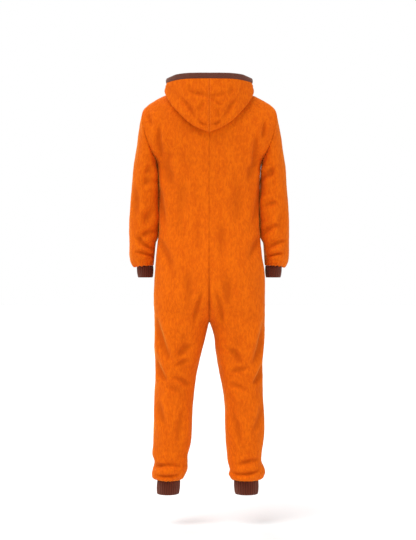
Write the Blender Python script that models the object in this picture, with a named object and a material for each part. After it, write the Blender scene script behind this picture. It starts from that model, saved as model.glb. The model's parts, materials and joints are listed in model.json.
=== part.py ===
"""Hooded fleece jumpsuit, worn and hollow, with its hood down on the back.

The shell keeps the pose of a standing adult: front to -Y, the wearer's left to +X, +Z up.
The origin is the point between the shoulders that carries the garment. Lengths in the
tables are millimetres, and "down" is measured downwards from the origin.
"""

from collections import namedtuple

import bpy
import numpy as np

MM = 0.001

# Cloth and seams
FLEECE = 2.6
RIB_KNIT = 3.4
BAND_CLOTH = 4.4
SEAM_GAP = 0.3
COLUMNS = 8
ARMHOLE_ROWS = 9
NECK_ROWS = 3

# Neckline: half width at the shoulder seam, and the centre points behind and in front
NECK_WIDTH = 80.0
NECK_TOP = -28.0
NECK_BACK = 72.0
NECK_BACK_DOWN = -18.0
NECK_FRONT = 88.0
NECK_FRONT_DOWN = 30.0

# Crotch: where the seat seam starts to turn under, and its lowest point
FORK_DOWN = 690.0
CROTCH_DOWN = 818.0
FORK_ROWS = 5
TORSO_ROWS = 10
LEG_ROWS = 11

# Zip in the centre front
ZIP_BOTTOM = 646.0
ZIP_OPEN = 4.5
TAPE_EDGE = 3.3
TAPE_WIDTH = 13.0
TAPE_CLOTH = 0.9
TAPE_GAP = 0.8
CHAIN_HALF = 3.0
CHAIN_SUNK = 1.0
CHAIN_THICK = 2.8

# Slider and pull tab, measured along the slope of the chest and out from the cloth
SLIDER_HALF = 4.0
SLIDER_LENGTH = 14.0
SLIDER_BACK = -0.6
SLIDER_FACE = 1.6
EAR_WIDTH = 0.8
PIN_OUT = 4.3
PIN_UP = 3.0
PIN_RADIUS = 0.8
EYE_RADIUS = 2.3
EYE_BORE = 1.15
TAB_HALF = 2.8
TAB_END_HALF = 4.0
TAB_LENGTH = 28.0
TAB_THICK = 1.4
TAB_WIDEST = 0.6
TAB_CORNER = 2.0
EAR_BACK = -1.6
EAR_SUNK = 0.5

Level = namedtuple("Level", "down left right back front")
TORSO = [
    Level(230, 186, 186, 130, 126),
    Level(300, 183, 183, 119, 125),
    Level(370, 181, 181, 109, 123),
    Level(440, 181, 181, 106, 122),
    Level(510, 184, 184, 112, 124),
    Level(570, 190, 191, 124, 125),
    Level(630, 196, 199, 134, 122),
    Level(690, 199, 200, 135, 115),
    Level(818, 199, 200, 112, 92),
]

# Half sections of the torso are this full at their corner, where 0.55 is an ellipse
FULLNESS = 0.62

# Shoulder seam between the neck and the armhole: two guiding points as (x, y, z)
SHOULDER_GUIDES = [(135, 0, 12), (205, 0, -15)]

# A point inside the torso, and one high in the chest, that tell outward from inward
TORSO_INSIDE = (60, 0, -500)
CHEST_INSIDE = (60, 0, -300)

CENTRE_BACK = [(-18, 72), (30, 100), (90, 122), (160, 133), (230, 130), (300, 119)]
CENTRE_FRONT = [(30, 88), (90, 106), (160, 120), (230, 126), (300, 125)]

Leg = namedtuple("Leg", "down left_out left_in right_in right_out back front seam")
LEGS = [
    Leg(818, 199, 1.5, 2.5, 200, 112, 92, 0),
    Leg(842, 199, 7, 11, 200, 108, 92, 0),
    Leg(864, 199, 12, 17, 200, 104, 90, 0),
    Leg(907, 198, 23, 21, 197, 98, 86, 0),
    Leg(950, 195, 34, 28, 193, 93, 84, 1),
    Leg(1000, 195, 45, 37, 193, 86, 82, 2),
    Leg(1060, 196, 53, 48, 193, 83, 77, 3),
    Leg(1123, 199, 59, 56, 197, 83, 72, 5),
    Leg(1190, 201, 61, 57, 197, 79, 68, 6),
    Leg(1253, 202, 66, 60, 193, 72, 64, 7),
    Leg(1290, 205, 75, 64, 188, 66, 60, 7),
    Leg(1316, 198, 75, 67, 188, 64, 58, 7),
    Leg(1342, 204, 77, 73, 199, 69, 64, 7),
    Leg(1362, 206, 87, 70, 197, 68, 63, 7),
    Leg(1374, 199, 97, 80, 188, 60, 55, 7),
    Leg(1379, 187, 104, 88, 177, 47, 47, 7),
]

Ring = namedtuple("Ring", "out_x out_down in_x in_down middle depth bow")
SLEEVE = [
    Ring(230, 48, 186, 230, -1, 83, 22),
    Ring(241, 78, 187.5, 234, -2, 83, 14),
    Ring(249, 112, 188.5, 240, -3, 82, 8),
    Ring(258, 155, 189, 250, -5, 80, 3),
    Ring(267, 208, 189, 268, -7, 77, 0),
    Ring(275, 262, 188, 300, -9, 74, 0),
    Ring(281, 330, 188, 350, -12, 71, 0),
    Ring(286, 400, 188, 410, -16, 68, 0),
    Ring(289, 470, 190, 472, -20, 66, 0),
    Ring(289, 535, 193, 530, -23, 66, 0),
    Ring(288, 575, 197, 570, -24, 68, 0),
    Ring(281, 602, 200, 596, -25, 62, 0),
    Ring(270, 614, 202, 607, -25, 48, 0),
    Ring(262, 610, 202.5, 610, -25, 37, 0),
]

Cuff = namedtuple("Cuff", "outer inner top bottom outer_end inner_end middle depth ribs")
WRIST = Cuff(262, 202.5, 610.3, 653, 258, 204.5, -25, 37, 26)
ANKLE_LEFT = Cuff(186.5, 104.5, 1379.3, 1429, 188.5, 108.5, 7, 47, 32)
ANKLE_RIGHT = Cuff(176.5, 88.5, 1379.3, 1429, 175.5, 92, 7, 47, 32)
RIB_HEIGHT = 1.3
CUFF_SWELL = [(0, 0), (0.6, 1.6), (1, 0)]

# Hood: turn 90 is the centre back, 0 the shoulder seam, -90 the centre front
HoodRow = namedtuple("HoodRow", "turn fold_x fold_down rim_x rim_y rim_down")
HOOD = [
    HoodRow(90, 0, 138, 0, 162, -42),
    HoodRow(75, 48, 121, 46, 159, -42),
    HoodRow(60, 86, 94, 88, 147, -42),
    HoodRow(45, 116, 62, 120, 124, -40),
    HoodRow(28, 140, 25, 147, 90, -37),
    HoodRow(8, 143, -3, 152, 46, -37),
    HoodRow(-14, 124, 2, 139, -2, -39),
    HoodRow(-38, 92, 16, 104, -54, -31),
    HoodRow(-64, 48, 30, 54, -92, -16),
    HoodRow(-90, 6, 34, 7, -108, -6),
]
HOOD_ROWS = 15

# Inner layer of the hood: its height over the cloth at shares of the way to the fold
HOOD_LIFTS = [(0, 0.5), (0.07, 15), (0.2, 19), (0.45, 14), (0.75, 11), (1, 10)]
UPRIGHT_SHARE = 0.4
RIM_STEPS = 7

HOOD_CLEAR = 10.0
BAND_GAP = 0.6
FOLD_RADIUS = 9.0
BAND_HEIGHT = 20.0

# Band section: how far its outer face stands out at shares of its height
BAND_SWELL = [(0, 0.4), (0.3, 1.4), (0.75, 1.2), (1, -0.8)]
BAND_TOP_THINNER = 2.4


def through(at, table):
    """The smooth curve through a table of (place, value) pairs, with slopes from the neighbours."""
    knots, values = np.array(table, float).T
    slopes = np.gradient(values, knots)
    place = np.clip(at, knots[0], knots[-1])
    index = np.clip(np.searchsorted(knots, place) - 1, 0, len(knots) - 2)
    span = knots[index + 1] - knots[index]
    t = (place - knots[index]) / span
    start = values[index] * (1 + 2 * t) * (1 - t) ** 2
    end = values[index + 1] * t**2 * (3 - 2 * t)
    lean = span * t * (1 - t) * (slopes[index] * (1 - t) - slopes[index + 1] * t)
    return start + end + lean


def column(rows, key, name, at):
    """One named column of a section table, read at a place between its rows."""
    return through(at, [(getattr(row, key), getattr(row, name)) for row in rows])


def bezier(corners, share):
    """Points of the cubic curve with these four corners, at each share of it."""
    a, b, c, d = (np.array(corner, float) for corner in corners)
    t = np.asarray(share)[:, None]
    return a * (1 - t) ** 3 + 3 * b * t * (1 - t) ** 2 + 3 * c * t**2 * (1 - t) + d * t**3


def ring_points(ring, turns):
    """Points round a sleeve section: turn 0 is its outer side, 90 the back, 180 the armpit side."""
    turn = np.radians(turns)
    x = (ring.out_x + ring.in_x) / 2 + (ring.out_x - ring.in_x) / 2 * np.cos(turn)
    x = x + ring.bow * np.abs(np.sin(turn))
    down = (ring.out_down + ring.in_down) / 2
    down = down + (ring.out_down - ring.in_down) / 2 * np.cos(turn)
    y = ring.middle + ring.depth * np.sin(turn)
    return np.stack([x, y, -down], axis=1)


def zip_edge(down):
    """Half the gap between the fronts at this height: open along the zip, a seam below it."""
    below = np.clip((down - ZIP_BOTTOM) / 20, 0, 1)
    return ZIP_OPEN + (SEAM_GAP / 2 - ZIP_OPEN) * below * below * (3 - 2 * below)


def neckline(turn, face):
    """Neckline point: turn 0 at the shoulder seam, 90 at the centre of this face."""
    reach = NECK_BACK if face > 0 else NECK_FRONT
    end_down = NECK_BACK_DOWN if face > 0 else NECK_FRONT_DOWN
    across = np.cos(np.radians(turn))
    drop = np.sin(np.radians(turn)) ** 1.4 * (end_down - NECK_TOP)
    return np.array([NECK_WIDTH * across, face * reach * np.sin(np.radians(turn)), -NECK_TOP - drop])


def level_row(width, depth, face, down, share):
    """Half a body section at one height, from the centre line to the side seam."""
    corners = [(0, depth), (FULLNESS * width, depth), (width, FULLNESS * depth), (width, 0)]
    flat = bezier(corners, share)
    return np.stack([flat[:, 0], face * flat[:, 1], np.full(len(share), -down)], axis=1)


def upper_rows(side, face, share):
    """Rows from the shoulder seam down to the armpit, filled between the four seams round them."""
    steps = np.linspace(0, 1, ARMHOLE_ROWS + 1)
    turns = 180 * steps if face > 0 else -180 * steps
    outer = ring_points(SLEEVE[0], turns)
    inner = [neckline(90 * i / NECK_ROWS, face) for i in range(NECK_ROWS)]
    table = CENTRE_BACK if face > 0 else CENTRE_FRONT
    for down in np.linspace(table[0][0], TORSO[0].down, ARMHOLE_ROWS - NECK_ROWS + 1):
        inner.append(np.array([0, face * through(down, table), -down]))
    inner = np.array(inner)
    neck_point = inner[0]
    top = bezier([neck_point, *SHOULDER_GUIDES, outer[0]], share)
    width = column(TORSO, "down", side, TORSO[0].down)
    depth = column(TORSO, "down", "back" if face > 0 else "front", TORSO[0].down)
    bottom = level_row(width, depth, face, TORSO[0].down, share)
    bottom[-1] = outer[-1]
    rows = []
    for i, v in enumerate(steps):
        u = share[:, None]
        sides = (1 - u) * inner[i] + u * outer[i]
        ends = (1 - v) * top + v * bottom
        corners = (1 - u) * ((1 - v) * inner[0] + v * inner[-1])
        corners = corners + u * ((1 - v) * outer[0] + v * outer[-1])
        rows.append(sides + ends - corners)
    return rows


def fork_row(side, face, turn, share):
    """A row whose inner end runs under the crotch, from the seat seam at 0 to the inseam at 90."""
    part = np.sin(np.radians(turn))
    down = FORK_DOWN + (CROTCH_DOWN - FORK_DOWN) * part
    depth_name = "back" if face > 0 else "front"
    start_depth = column(TORSO, "down", depth_name, FORK_DOWN)
    leg_depth = getattr(LEGS[0], depth_name)
    width = column(TORSO, "down", side, down)
    inner_x = getattr(LEGS[0], side + "_in") * part
    heading = np.radians(90 * part**1.5)
    reach = FULLNESS * width * (1 - part) + 4 / 3 * leg_depth * part
    start = np.array([inner_x, start_depth * np.cos(np.radians(turn))])
    side_depth = FULLNESS * start_depth * (1 - part) + 4 / 3 * leg_depth * part
    second = np.array([width, side_depth])
    seat = (leg_depth - 0.125 * start[1] - 0.375 * second[1]) / 0.375
    first = start + np.array([reach * np.cos(heading), part * (seat - start[1])])
    flat = bezier([start, first, second, (width, 0)], share)
    return np.stack([flat[:, 0], face * flat[:, 1], np.full(len(share), -down)], axis=1)


def leg_row(side, face, down, share):
    """Half a leg section, from the inseam to the side seam."""
    inner_x = column(LEGS, "down", side + "_in", down)
    outer_x = column(LEGS, "down", side + "_out", down)
    depth = column(LEGS, "down", "back" if face > 0 else "front", down)
    seam = column(LEGS, "down", "seam", down)
    lift = 4 / 3 * depth
    flat = bezier([(inner_x, 0), (inner_x, lift), (outer_x, lift), (outer_x, 0)], share)
    return np.stack([flat[:, 0], seam + face * flat[:, 1], np.full(len(share), -down)], axis=1)


def row_heights():
    """Heights of the level rows of the torso, and of the rows down the leg."""
    torso = np.linspace(TORSO[0].down, FORK_DOWN, TORSO_ROWS + 1)[1:]
    leg = np.linspace(CROTCH_DOWN, LEGS[-6].down, LEG_ROWS + 1)[1:]
    hem = [leg_section.down for leg_section in LEGS[-5:]]
    return torso, np.concatenate([leg, hem])


def panel(side, face):
    """Outer points of one panel, rows from shoulder to ankle by columns from centre to side seam."""
    share = np.linspace(0, 1, COLUMNS + 1)
    rows = upper_rows(side, face, share)
    torso, leg = row_heights()
    for down in torso:
        width = column(TORSO, "down", side, down)
        depth = column(TORSO, "down", "back" if face > 0 else "front", down)
        rows.append(level_row(width, depth, face, down, share))
    for i in range(FORK_ROWS):
        rows.append(fork_row(side, face, 90 * (i + 1) / FORK_ROWS, share))
    for down in leg:
        rows.append(leg_row(side, face, down, share))
    grid = np.array(rows)
    for _ in range(2):
        middle = grid[1:-1, 1:-1]
        near = grid[:-2, 1:-1] + grid[2:, 1:-1] + grid[1:-1, :-2] + grid[1:-1, 2:]
        weight = np.zeros(len(grid))
        weight[3:ARMHOLE_ROWS + 4] = 0.5
        blend = weight[1:-1, None, None]
        grid[1:-1, 1:-1] = middle * (1 - blend) + near / 4 * blend
    return grid


def normals_of(grid, closed=False):
    """Unit normals of a grid of points, from the differences along its rows and columns."""
    along = np.gradient(grid, axis=0)
    if closed:
        across = (np.roll(grid, -1, axis=1) - np.roll(grid, 1, axis=1)) / 2
    else:
        across = np.gradient(grid, axis=1)
    normal = np.cross(across, along)
    return normal / np.linalg.norm(normal, axis=2, keepdims=True)


def unit(vector):
    """The vector or vectors at length one."""
    return vector / np.linalg.norm(vector, axis=-1, keepdims=True)


def facing(grid, normal, inside):
    """The normals turned so that they point away from a point inside."""
    outward = ((grid - inside) * normal).sum()
    return normal if outward > 0 else -normal


def add_body(name, points, faces, finish):
    """One closed mesh object from millimetre points, with its faces turned out."""
    mesh = bpy.data.meshes.new(name)
    mesh.from_pydata([tuple(float(v) * MM for v in p) for p in points], [], faces)
    corners = np.array(points)
    volume = 0.0
    for face in faces:
        for i in range(1, len(face) - 1):
            volume += np.dot(corners[face[0]], np.cross(corners[face[i]], corners[face[i + 1]]))
    if volume < 0:
        mesh.flip_normals()
    mesh.materials.append(finish)
    mesh.shade_smooth()
    mesh.set_sharp_from_angle(angle=np.radians(50))
    obj = bpy.data.objects.new(name, mesh)
    bpy.context.scene.collection.objects.link(obj)
    return obj


def add_wall(name, outer, inner, material, closed=False):
    """A cloth wall between two grids of points: a panel, or a tube when closed round."""
    rows, columns = outer.shape[:2]
    count = rows * columns
    points = np.concatenate([outer.reshape(-1, 3), inner.reshape(-1, 3)])
    last = columns if closed else columns - 1

    def spot(row, col, layer):
        return layer * count + row * columns + col % columns

    faces = []
    for row in range(rows - 1):
        for col in range(last):
            quad = [spot(row, col, 0), spot(row, col + 1, 0)]
            quad += [spot(row + 1, col + 1, 0), spot(row + 1, col, 0)]
            faces.append(quad)
            faces.append([index + count for index in reversed(quad)])
    for col in range(last):
        for row, step in ((0, 1), (rows - 1, 0)):
            a, b = (col, col + 1) if step else (col + 1, col)
            faces.append([spot(row, b, 0), spot(row, a, 0), spot(row, a, 1), spot(row, b, 1)])
    if not closed:
        for row in range(rows - 1):
            for col, step in ((0, 0), (columns - 1, 1)):
                a, b = (row, row + 1) if step else (row + 1, row)
                faces.append([spot(b, col, 0), spot(a, col, 0), spot(a, col, 1), spot(b, col, 1)])
    return add_body(name, points, faces, material)


def material(name, colour, roughness, metallic=0.0):
    """A Principled material of one colour."""
    made = bpy.data.materials.new(name)
    made.use_nodes = True
    shader = made.node_tree.nodes["Principled BSDF"]
    shader.inputs["Base Color"].default_value = (*colour, 1.0)
    shader.inputs["Roughness"].default_value = roughness
    shader.inputs["Metallic"].default_value = metallic
    made.diffuse_color = (*colour, 1.0)
    return made


def armhole_inward(turns):
    """Directions from the armhole seam towards the middle of the armhole."""
    flat = SLEEVE[0]._replace(bow=0)
    middle = ring_points(flat, np.array([0, 180])).mean(axis=0)
    return unit(middle - ring_points(flat, turns))


def armhole_normal():
    """The direction out of the armhole, square to its plane."""
    ring = SLEEVE[0]
    rise = np.array([ring.out_x - ring.in_x, 0, ring.in_down - ring.out_down])
    return unit(np.array([rise[2], 0, -rise[0]]))


def panel_wall(side, face, grid):
    """Outer and inner points of a panel, with its seam edges drawn back by half the seam gap."""
    outer = grid.copy()
    normal = facing(grid, normals_of(grid), np.array(TORSO_INSIDE))
    turns = face * 180 * np.linspace(0, 1, ARMHOLE_ROWS + 1)
    below = slice(ARMHOLE_ROWS + 1, None)
    normal[below, -1, 1] = 0
    normal[0, :, 1] = 0
    fork = ARMHOLE_ROWS + TORSO_ROWS + FORK_ROWS
    normal[NECK_ROWS:fork - FORK_ROWS + 1, 0, 0] = 0
    normal[fork:, 0, 1] = 0
    normal = unit(normal)
    inner = grid - FLEECE * normal
    inner[:ARMHOLE_ROWS + 1, -1] = grid[:ARMHOLE_ROWS + 1, -1] + FLEECE * armhole_inward(turns)
    half = SEAM_GAP / 2
    for layer in (outer, inner):
        layer[:ARMHOLE_ROWS + 1, -1] -= half * armhole_normal()
        layer[0, :, 1] += face * half
        layer[ARMHOLE_ROWS:, -1, 1] += face * half
        layer[fork:, 0, 1] += face * half
        centre = layer[NECK_ROWS:fork, 0]
        least = np.full(len(centre), half)
        if face < 0:
            least = zip_edge(-centre[:, 2])
        centre[:, 0] = least
    return outer, inner


def mirrored(points, side):
    """The points on the wearer's left, or their mirror image on the right."""
    return points if side == "left" else points * np.array([-1, 1, 1])


def build_panels(fleece):
    """The four body panels. Returns their outer and inner grids by side and face."""
    grids = {}
    linings = {}
    for side in ("left", "right"):
        for face, name in ((1, "back"), (-1, "front")):
            grid = panel(side, face)
            outer, inner = panel_wall(side, face, grid)
            grids[side, face] = outer
            linings[side, face] = inner
            add_wall(f"{name}_{side}", mirrored(outer, side), mirrored(inner, side), fleece)
    return grids, linings


def build_sleeves(fleece):
    """Both sleeves, from the armhole seam to the gathered end above the cuff."""
    turns = np.arange(2 * ARMHOLE_ROWS) * 180 / ARMHOLE_ROWS
    grid = np.array([ring_points(ring, turns) for ring in SLEEVE])
    normal = normals_of(grid, closed=True)
    normal = facing(grid, normal, grid.mean(axis=(0, 1)))
    inner = grid - FLEECE * normal
    inner[0] = grid[0] + FLEECE * armhole_inward(turns)
    outer = grid.copy()
    for layer in (outer, inner):
        layer[0] += SEAM_GAP / 2 * armhole_normal()
    for side in ("left", "right"):
        add_wall(
            f"sleeve_{side}", mirrored(outer, side), mirrored(inner, side), fleece, closed=True
        )


def build_cuff(name, cuff, side, knit):
    """A rib-knit tube whose outer face is raised in ribs over a plain inside."""
    count = 2 * cuff.ribs
    turn = np.arange(count) * 2 * np.pi / count
    outer_rows = []
    inner_rows = []
    for share, swell in CUFF_SWELL:
        out_x = cuff.outer + (cuff.outer_end - cuff.outer) * share
        in_x = cuff.inner + (cuff.inner_end - cuff.inner) * share
        down = cuff.top + (cuff.bottom - cuff.top) * share
        half_x = (out_x - in_x) / 2
        for rows, shrink in ((outer_rows, 0), (inner_rows, RIB_KNIT)):
            raised = 0 if shrink else (np.arange(count) % 2) * RIB_HEIGHT - RIB_HEIGHT
            reach_x = half_x + swell - shrink + raised
            reach_y = cuff.depth + swell - shrink + raised
            x = (out_x + in_x) / 2 + reach_x * np.cos(turn)
            y = cuff.middle + reach_y * np.sin(turn)
            rows.append(np.stack([x, y, np.full(count, -down)], axis=1))
    outer = mirrored(np.array(outer_rows), side)
    inner = mirrored(np.array(inner_rows), side)
    add_wall(name, outer, inner, knit, closed=True)


def on_panel(grid, row, col):
    """A point of the panel's surface between its rows and columns, and the normal there."""
    top, left = min(int(row), len(grid) - 2), min(int(col), grid.shape[1] - 2)
    v, u = row - top, col - left
    cell = grid[top:top + 2, left:left + 2]
    low = cell[0, 0] * (1 - u) + cell[0, 1] * u
    high = cell[1, 0] * (1 - u) + cell[1, 1] * u
    normal = unit(np.cross(cell[0, 1] - cell[0, 0], cell[1, 0] - cell[0, 0]))
    point = low * (1 - v) + high * v
    return point, normal if np.dot(point - CHEST_INSIDE, normal) > 0 else -normal


def spot_at(grid, x, down):
    """The row and column of the panel point that lies nearest to this width and height."""
    rows = np.arange(0, ARMHOLE_ROWS, 0.1)
    cols = np.arange(0, COLUMNS, 0.1)
    best = min(
        (np.hypot(*(on_panel(grid, row, col)[0][[0, 2]] - (x, -down))), row, col)
        for row in rows
        for col in cols
    )
    return best[1], best[2]


def hood_section(grids, row):
    """One section of the hood: up from the neckline, out, down the body, and back up to its rim."""
    face = 1 if row.turn >= 0 else -1
    grid = grids["left", face]
    start_row = abs(row.turn) / 90 * NECK_ROWS
    end_row, end_col = spot_at(grid, row.fold_x, row.fold_down)
    points = []
    for share, lift in HOOD_LIFTS:
        spot, normal = on_panel(grid, start_row + (end_row - start_row) * share, end_col * share)
        lean = min(share / UPRIGHT_SHARE, 1)
        points.append(spot + unit(np.array([0, 0, 1 - lean]) + normal * (0.15 + lean)) * lift)
    fold, normal = on_panel(grid, end_row, end_col)
    rim = np.array([row.rim_x, row.rim_y, -row.rim_down], float)
    along = unit(points[-1] - points[-2])
    low = fold + normal * (HOOD_CLEAR + FOLD_RADIUS) + along * FOLD_RADIUS
    lift_off = fold + normal * (HOOD_CLEAR + 2 * FOLD_RADIUS)
    points.append(low)
    height = np.linalg.norm(rim - lift_off)
    out = unit(normal * np.array([1, 1, 0.2]))
    first = lift_off - along * height * 0.3 + out * height * 0.08
    second = rim + np.array([0, 0, -0.35 * height]) + out * height * 0.05
    points.extend(bezier([lift_off, first, second, rim], np.linspace(0, 1, RIM_STEPS)))
    return np.array(points)


def hood_grid(grids):
    """Sections of the left half of the hood, from the centre back to the centre front."""
    turns = np.linspace(90, -90, HOOD_ROWS)
    table = [HoodRow(-row.turn, *row[1:]) for row in HOOD]
    sections = []
    for turn in turns:
        values = [column(table, "turn", name, -turn) for name in HoodRow._fields[1:]]
        sections.append(hood_section(grids, HoodRow(turn, *values)))
    return np.array(sections)


def hood_walls(grids):
    """Outer grid of the hood half, its wall's other grid, and the band's two grids."""
    grid = hood_grid(grids)
    normal = normals_of(grid)
    if normal[0, -3, 1] < 0:
        normal = -normal
    normal[0, :, 0] = 0
    normal = unit(normal)
    inner = grid - FLEECE * normal
    rise = unit(grid[:, -1] - grid[:, -2])
    rise = unit(rise + np.array([0, 0, 0.6]))
    out = unit(normal[:, -1] * np.array([1, 1, 0]))
    band_outer = []
    band_inner = []
    for share, swell in BAND_SWELL:
        spine = grid[:, -1] + rise * (BAND_GAP + BAND_HEIGHT * share)
        band_outer.append(spine + out * swell)
        thick = BAND_CLOTH if share < 1 else BAND_CLOTH - BAND_TOP_THINNER
        band_inner.append(spine + out * (swell - thick))
    return grid, inner, np.stack(band_outer, axis=1), np.stack(band_inner, axis=1)


def build_hood(grids, fleece, trim):
    """Both halves of the hood, joined at its centre seam, and the band round its edge."""
    outer, inner, band_outer, band_inner = hood_walls(grids)
    for layer in (outer, inner):
        layer[0, :, 0] = np.maximum(layer[0, :, 0], SEAM_GAP / 2)
    for side in ("left", "right"):
        add_wall(f"hood_{side}", mirrored(outer, side), mirrored(inner, side), fleece)
    whole = []
    for layer in (band_outer, band_inner):
        layer[0, :, 0] = 0
        whole.append(np.concatenate([mirrored(layer[:0:-1], "right"), layer]))
    add_wall("hood_band", whole[0], whole[1], trim)


def zip_rows(grid):
    """Centre points, downhill directions and outward normals of a front panel along the zip."""
    rows = [i for i in range(NECK_ROWS, len(grid)) if -grid[i, 0, 2] < ZIP_BOTTOM]
    line = grid[rows, 0] * np.array([0, 1, 1])
    slope = unit(np.gradient(line, axis=0))
    out = np.stack([np.zeros(len(line)), slope[:, 2], -slope[:, 1]], axis=1)
    return rows, line, slope, out


def build_zip(grids, linings, cloth, teeth):
    """Both tapes behind the front edges, and the closed chain between them."""
    for side in ("left", "right"):
        rows, _, _, out = zip_rows(grids[side, -1])
        edge = linings[side, -1][rows, 0]
        across = unit(linings[side, -1][rows, 1] - edge)
        face = []
        for x in (TAPE_EDGE, TAPE_EDGE + TAPE_WIDTH):
            face.append(edge + across * ((x - edge[:, :1]) / across[:, :1]))
        outer = np.stack([line - out * TAPE_GAP for line in face], axis=1)
        inner = np.stack([line - out * (TAPE_GAP + TAPE_CLOTH) for line in face], axis=1)
        add_wall(f"zip_tape_{side}", mirrored(outer, side), mirrored(inner, side), cloth)
    _, line, _, out = zip_rows(grids["left", -1])
    line, out = line[1:], out[1:]
    half = np.array([CHAIN_HALF, 0, 0])
    front = line - out * CHAIN_SUNK
    rear = line - out * (CHAIN_SUNK + CHAIN_THICK)
    outer = np.stack([front - half, front + half], axis=1)
    inner = np.stack([rear - half, rear + half], axis=1)
    add_wall("zip_chain", outer, inner, teeth)


def block(name, low, high):
    """A box between two corners, in millimetres."""
    xs, ys, zs = zip(low, high)
    corners = [(x, y, z) for x in xs for y in ys for z in zs]
    faces = [(0, 1, 3, 2), (4, 6, 7, 5), (0, 4, 5, 1), (2, 3, 7, 6), (0, 2, 6, 4), (1, 5, 7, 3)]
    return add_body(name, corners, faces, None)


def rod(name, radius, half, sides):
    """A round bar along X about the origin, in millimetres."""
    turn = np.arange(sides) * 2 * np.pi / sides
    ends = [[(x, radius * np.cos(a), radius * np.sin(a)) for a in turn] for x in (-half, half)]
    faces = [[i, (i + 1) % sides, sides + (i + 1) % sides, sides + i] for i in range(sides)]
    faces += [list(range(sides))[::-1], list(range(sides, 2 * sides))]
    return add_body(name, ends[0] + ends[1], faces, None)


def combine(target, tools, operation):
    """Joins the tools to the target, or cuts them from it."""
    for tool in tools:
        tool.hide_render = True
        tool.display_type = "WIRE"
        modifier = target.modifiers.new(tool.name, "BOOLEAN")
        modifier.operation = operation
        modifier.object = tool
        tool.parent = target


def build_slider(grids, metal):
    """The slider at the top of the chain and its pull tab, hung on a pin between two ears."""
    _, line, slope, out = zip_rows(grids["left", -1])
    tilt = np.arctan2(slope[1, 1], slope[1, 2] * -1)
    pin = line[1] + out[1] * PIN_OUT - slope[1] * PIN_UP
    lean = (tilt, 0, 0)
    front = PIN_OUT - SLIDER_FACE
    plate_low = (-SLIDER_HALF, front, -SLIDER_LENGTH / 2 - PIN_UP)
    plate_high = (SLIDER_HALF, PIN_OUT - SLIDER_BACK, SLIDER_LENGTH / 2 - PIN_UP)
    slider = block("zip_slider", plate_low, plate_high)
    slider.data.materials[0] = metal
    ears = []
    for label, x in (("left", SLIDER_HALF - EAR_WIDTH), ("right", -SLIDER_HALF)):
        ear_low = (x, EAR_BACK, -EYE_RADIUS)
        ear_high = (x + EAR_WIDTH, front + EAR_SUNK, EYE_RADIUS)
        ears.append(block(f"ear_{label}", ear_low, ear_high))
    axle = rod("ear_pin", PIN_RADIUS, SLIDER_HALF - EAR_WIDTH / 2, 12)
    combine(slider, [*ears, axle], "UNION")

    right = [
        (TAB_HALF, 0),
        (TAB_END_HALF, -TAB_LENGTH * TAB_WIDEST),
        (TAB_END_HALF, TAB_CORNER - TAB_LENGTH),
        (TAB_END_HALF - TAB_CORNER, -TAB_LENGTH),
    ]
    corners = right + [(-x, z) for x, z in reversed(right)]
    count = len(corners)
    points = [(x, y, z) for y in (-TAB_THICK / 2, TAB_THICK / 2) for x, z in corners]
    faces = [[i, (i + 1) % count, count + (i + 1) % count, count + i] for i in range(count)]
    faces += [list(range(count))[::-1], list(range(count, 2 * count))]
    tab = add_body("zip_pull", points, faces, metal)
    combine(tab, [rod("tab_eye", EYE_RADIUS, TAB_HALF, 16)], "UNION")
    combine(tab, [rod("tab_bore", EYE_BORE, TAB_HALF + 1, 12)], "DIFFERENCE")
    for piece in (slider, tab):
        piece.location = pin * MM
        piece.rotation_euler = lean


def main():
    """Clears the scene and builds the garment piece by piece."""
    for obj in list(bpy.data.objects):
        bpy.data.objects.remove(obj)
    fleece = material("orange_fleece", (0.80, 0.13, 0.006), 0.95)
    knit = material("brown_rib_knit", (0.09, 0.025, 0.015), 0.9)
    teeth = material("brown_zip_teeth", (0.07, 0.02, 0.012), 0.45)
    metal = material("dark_zip_metal", (0.25, 0.22, 0.2), 0.35, 1.0)
    grids, linings = build_panels(fleece)
    build_sleeves(fleece)
    for side in ("left", "right"):
        build_cuff(f"wrist_cuff_{side}", WRIST, side, knit)
    build_cuff("ankle_cuff_left", ANKLE_LEFT, "left", knit)
    build_cuff("ankle_cuff_right", ANKLE_RIGHT, "right", knit)
    build_hood(grids, fleece, knit)
    build_zip(grids, linings, knit, teeth)
    build_slider(grids, metal)


main()
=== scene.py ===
"""Looks of a hooded fleece jumpsuit, worn and hollow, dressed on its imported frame.

Lengths in the tables are millimetres and "down" is measured downwards from the point between
the shoulders that carries the garment. The back faces +Y and the wearer's left is +X.
"""

import json
import logging
import math
from dataclasses import dataclass, field
from enum import Enum
from typing import Callable, NamedTuple, Sequence

import bpy
import numpy as np
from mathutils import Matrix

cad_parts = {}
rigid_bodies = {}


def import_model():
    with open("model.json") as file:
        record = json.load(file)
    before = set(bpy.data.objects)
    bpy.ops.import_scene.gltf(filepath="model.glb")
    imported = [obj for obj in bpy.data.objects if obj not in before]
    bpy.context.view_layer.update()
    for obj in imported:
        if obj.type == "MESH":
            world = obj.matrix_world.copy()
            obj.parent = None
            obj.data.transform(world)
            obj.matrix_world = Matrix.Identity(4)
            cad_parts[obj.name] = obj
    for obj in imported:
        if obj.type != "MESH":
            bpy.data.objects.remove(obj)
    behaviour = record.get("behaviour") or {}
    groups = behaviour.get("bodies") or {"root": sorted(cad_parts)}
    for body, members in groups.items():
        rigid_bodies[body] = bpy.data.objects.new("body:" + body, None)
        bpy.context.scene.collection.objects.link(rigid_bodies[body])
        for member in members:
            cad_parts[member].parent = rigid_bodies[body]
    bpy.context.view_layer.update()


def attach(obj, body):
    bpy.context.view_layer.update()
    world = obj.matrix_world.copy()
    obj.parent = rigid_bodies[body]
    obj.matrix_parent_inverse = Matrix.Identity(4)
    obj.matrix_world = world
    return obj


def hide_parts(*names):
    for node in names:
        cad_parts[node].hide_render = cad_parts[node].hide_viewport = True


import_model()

Colour = tuple[float, float, float]

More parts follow.
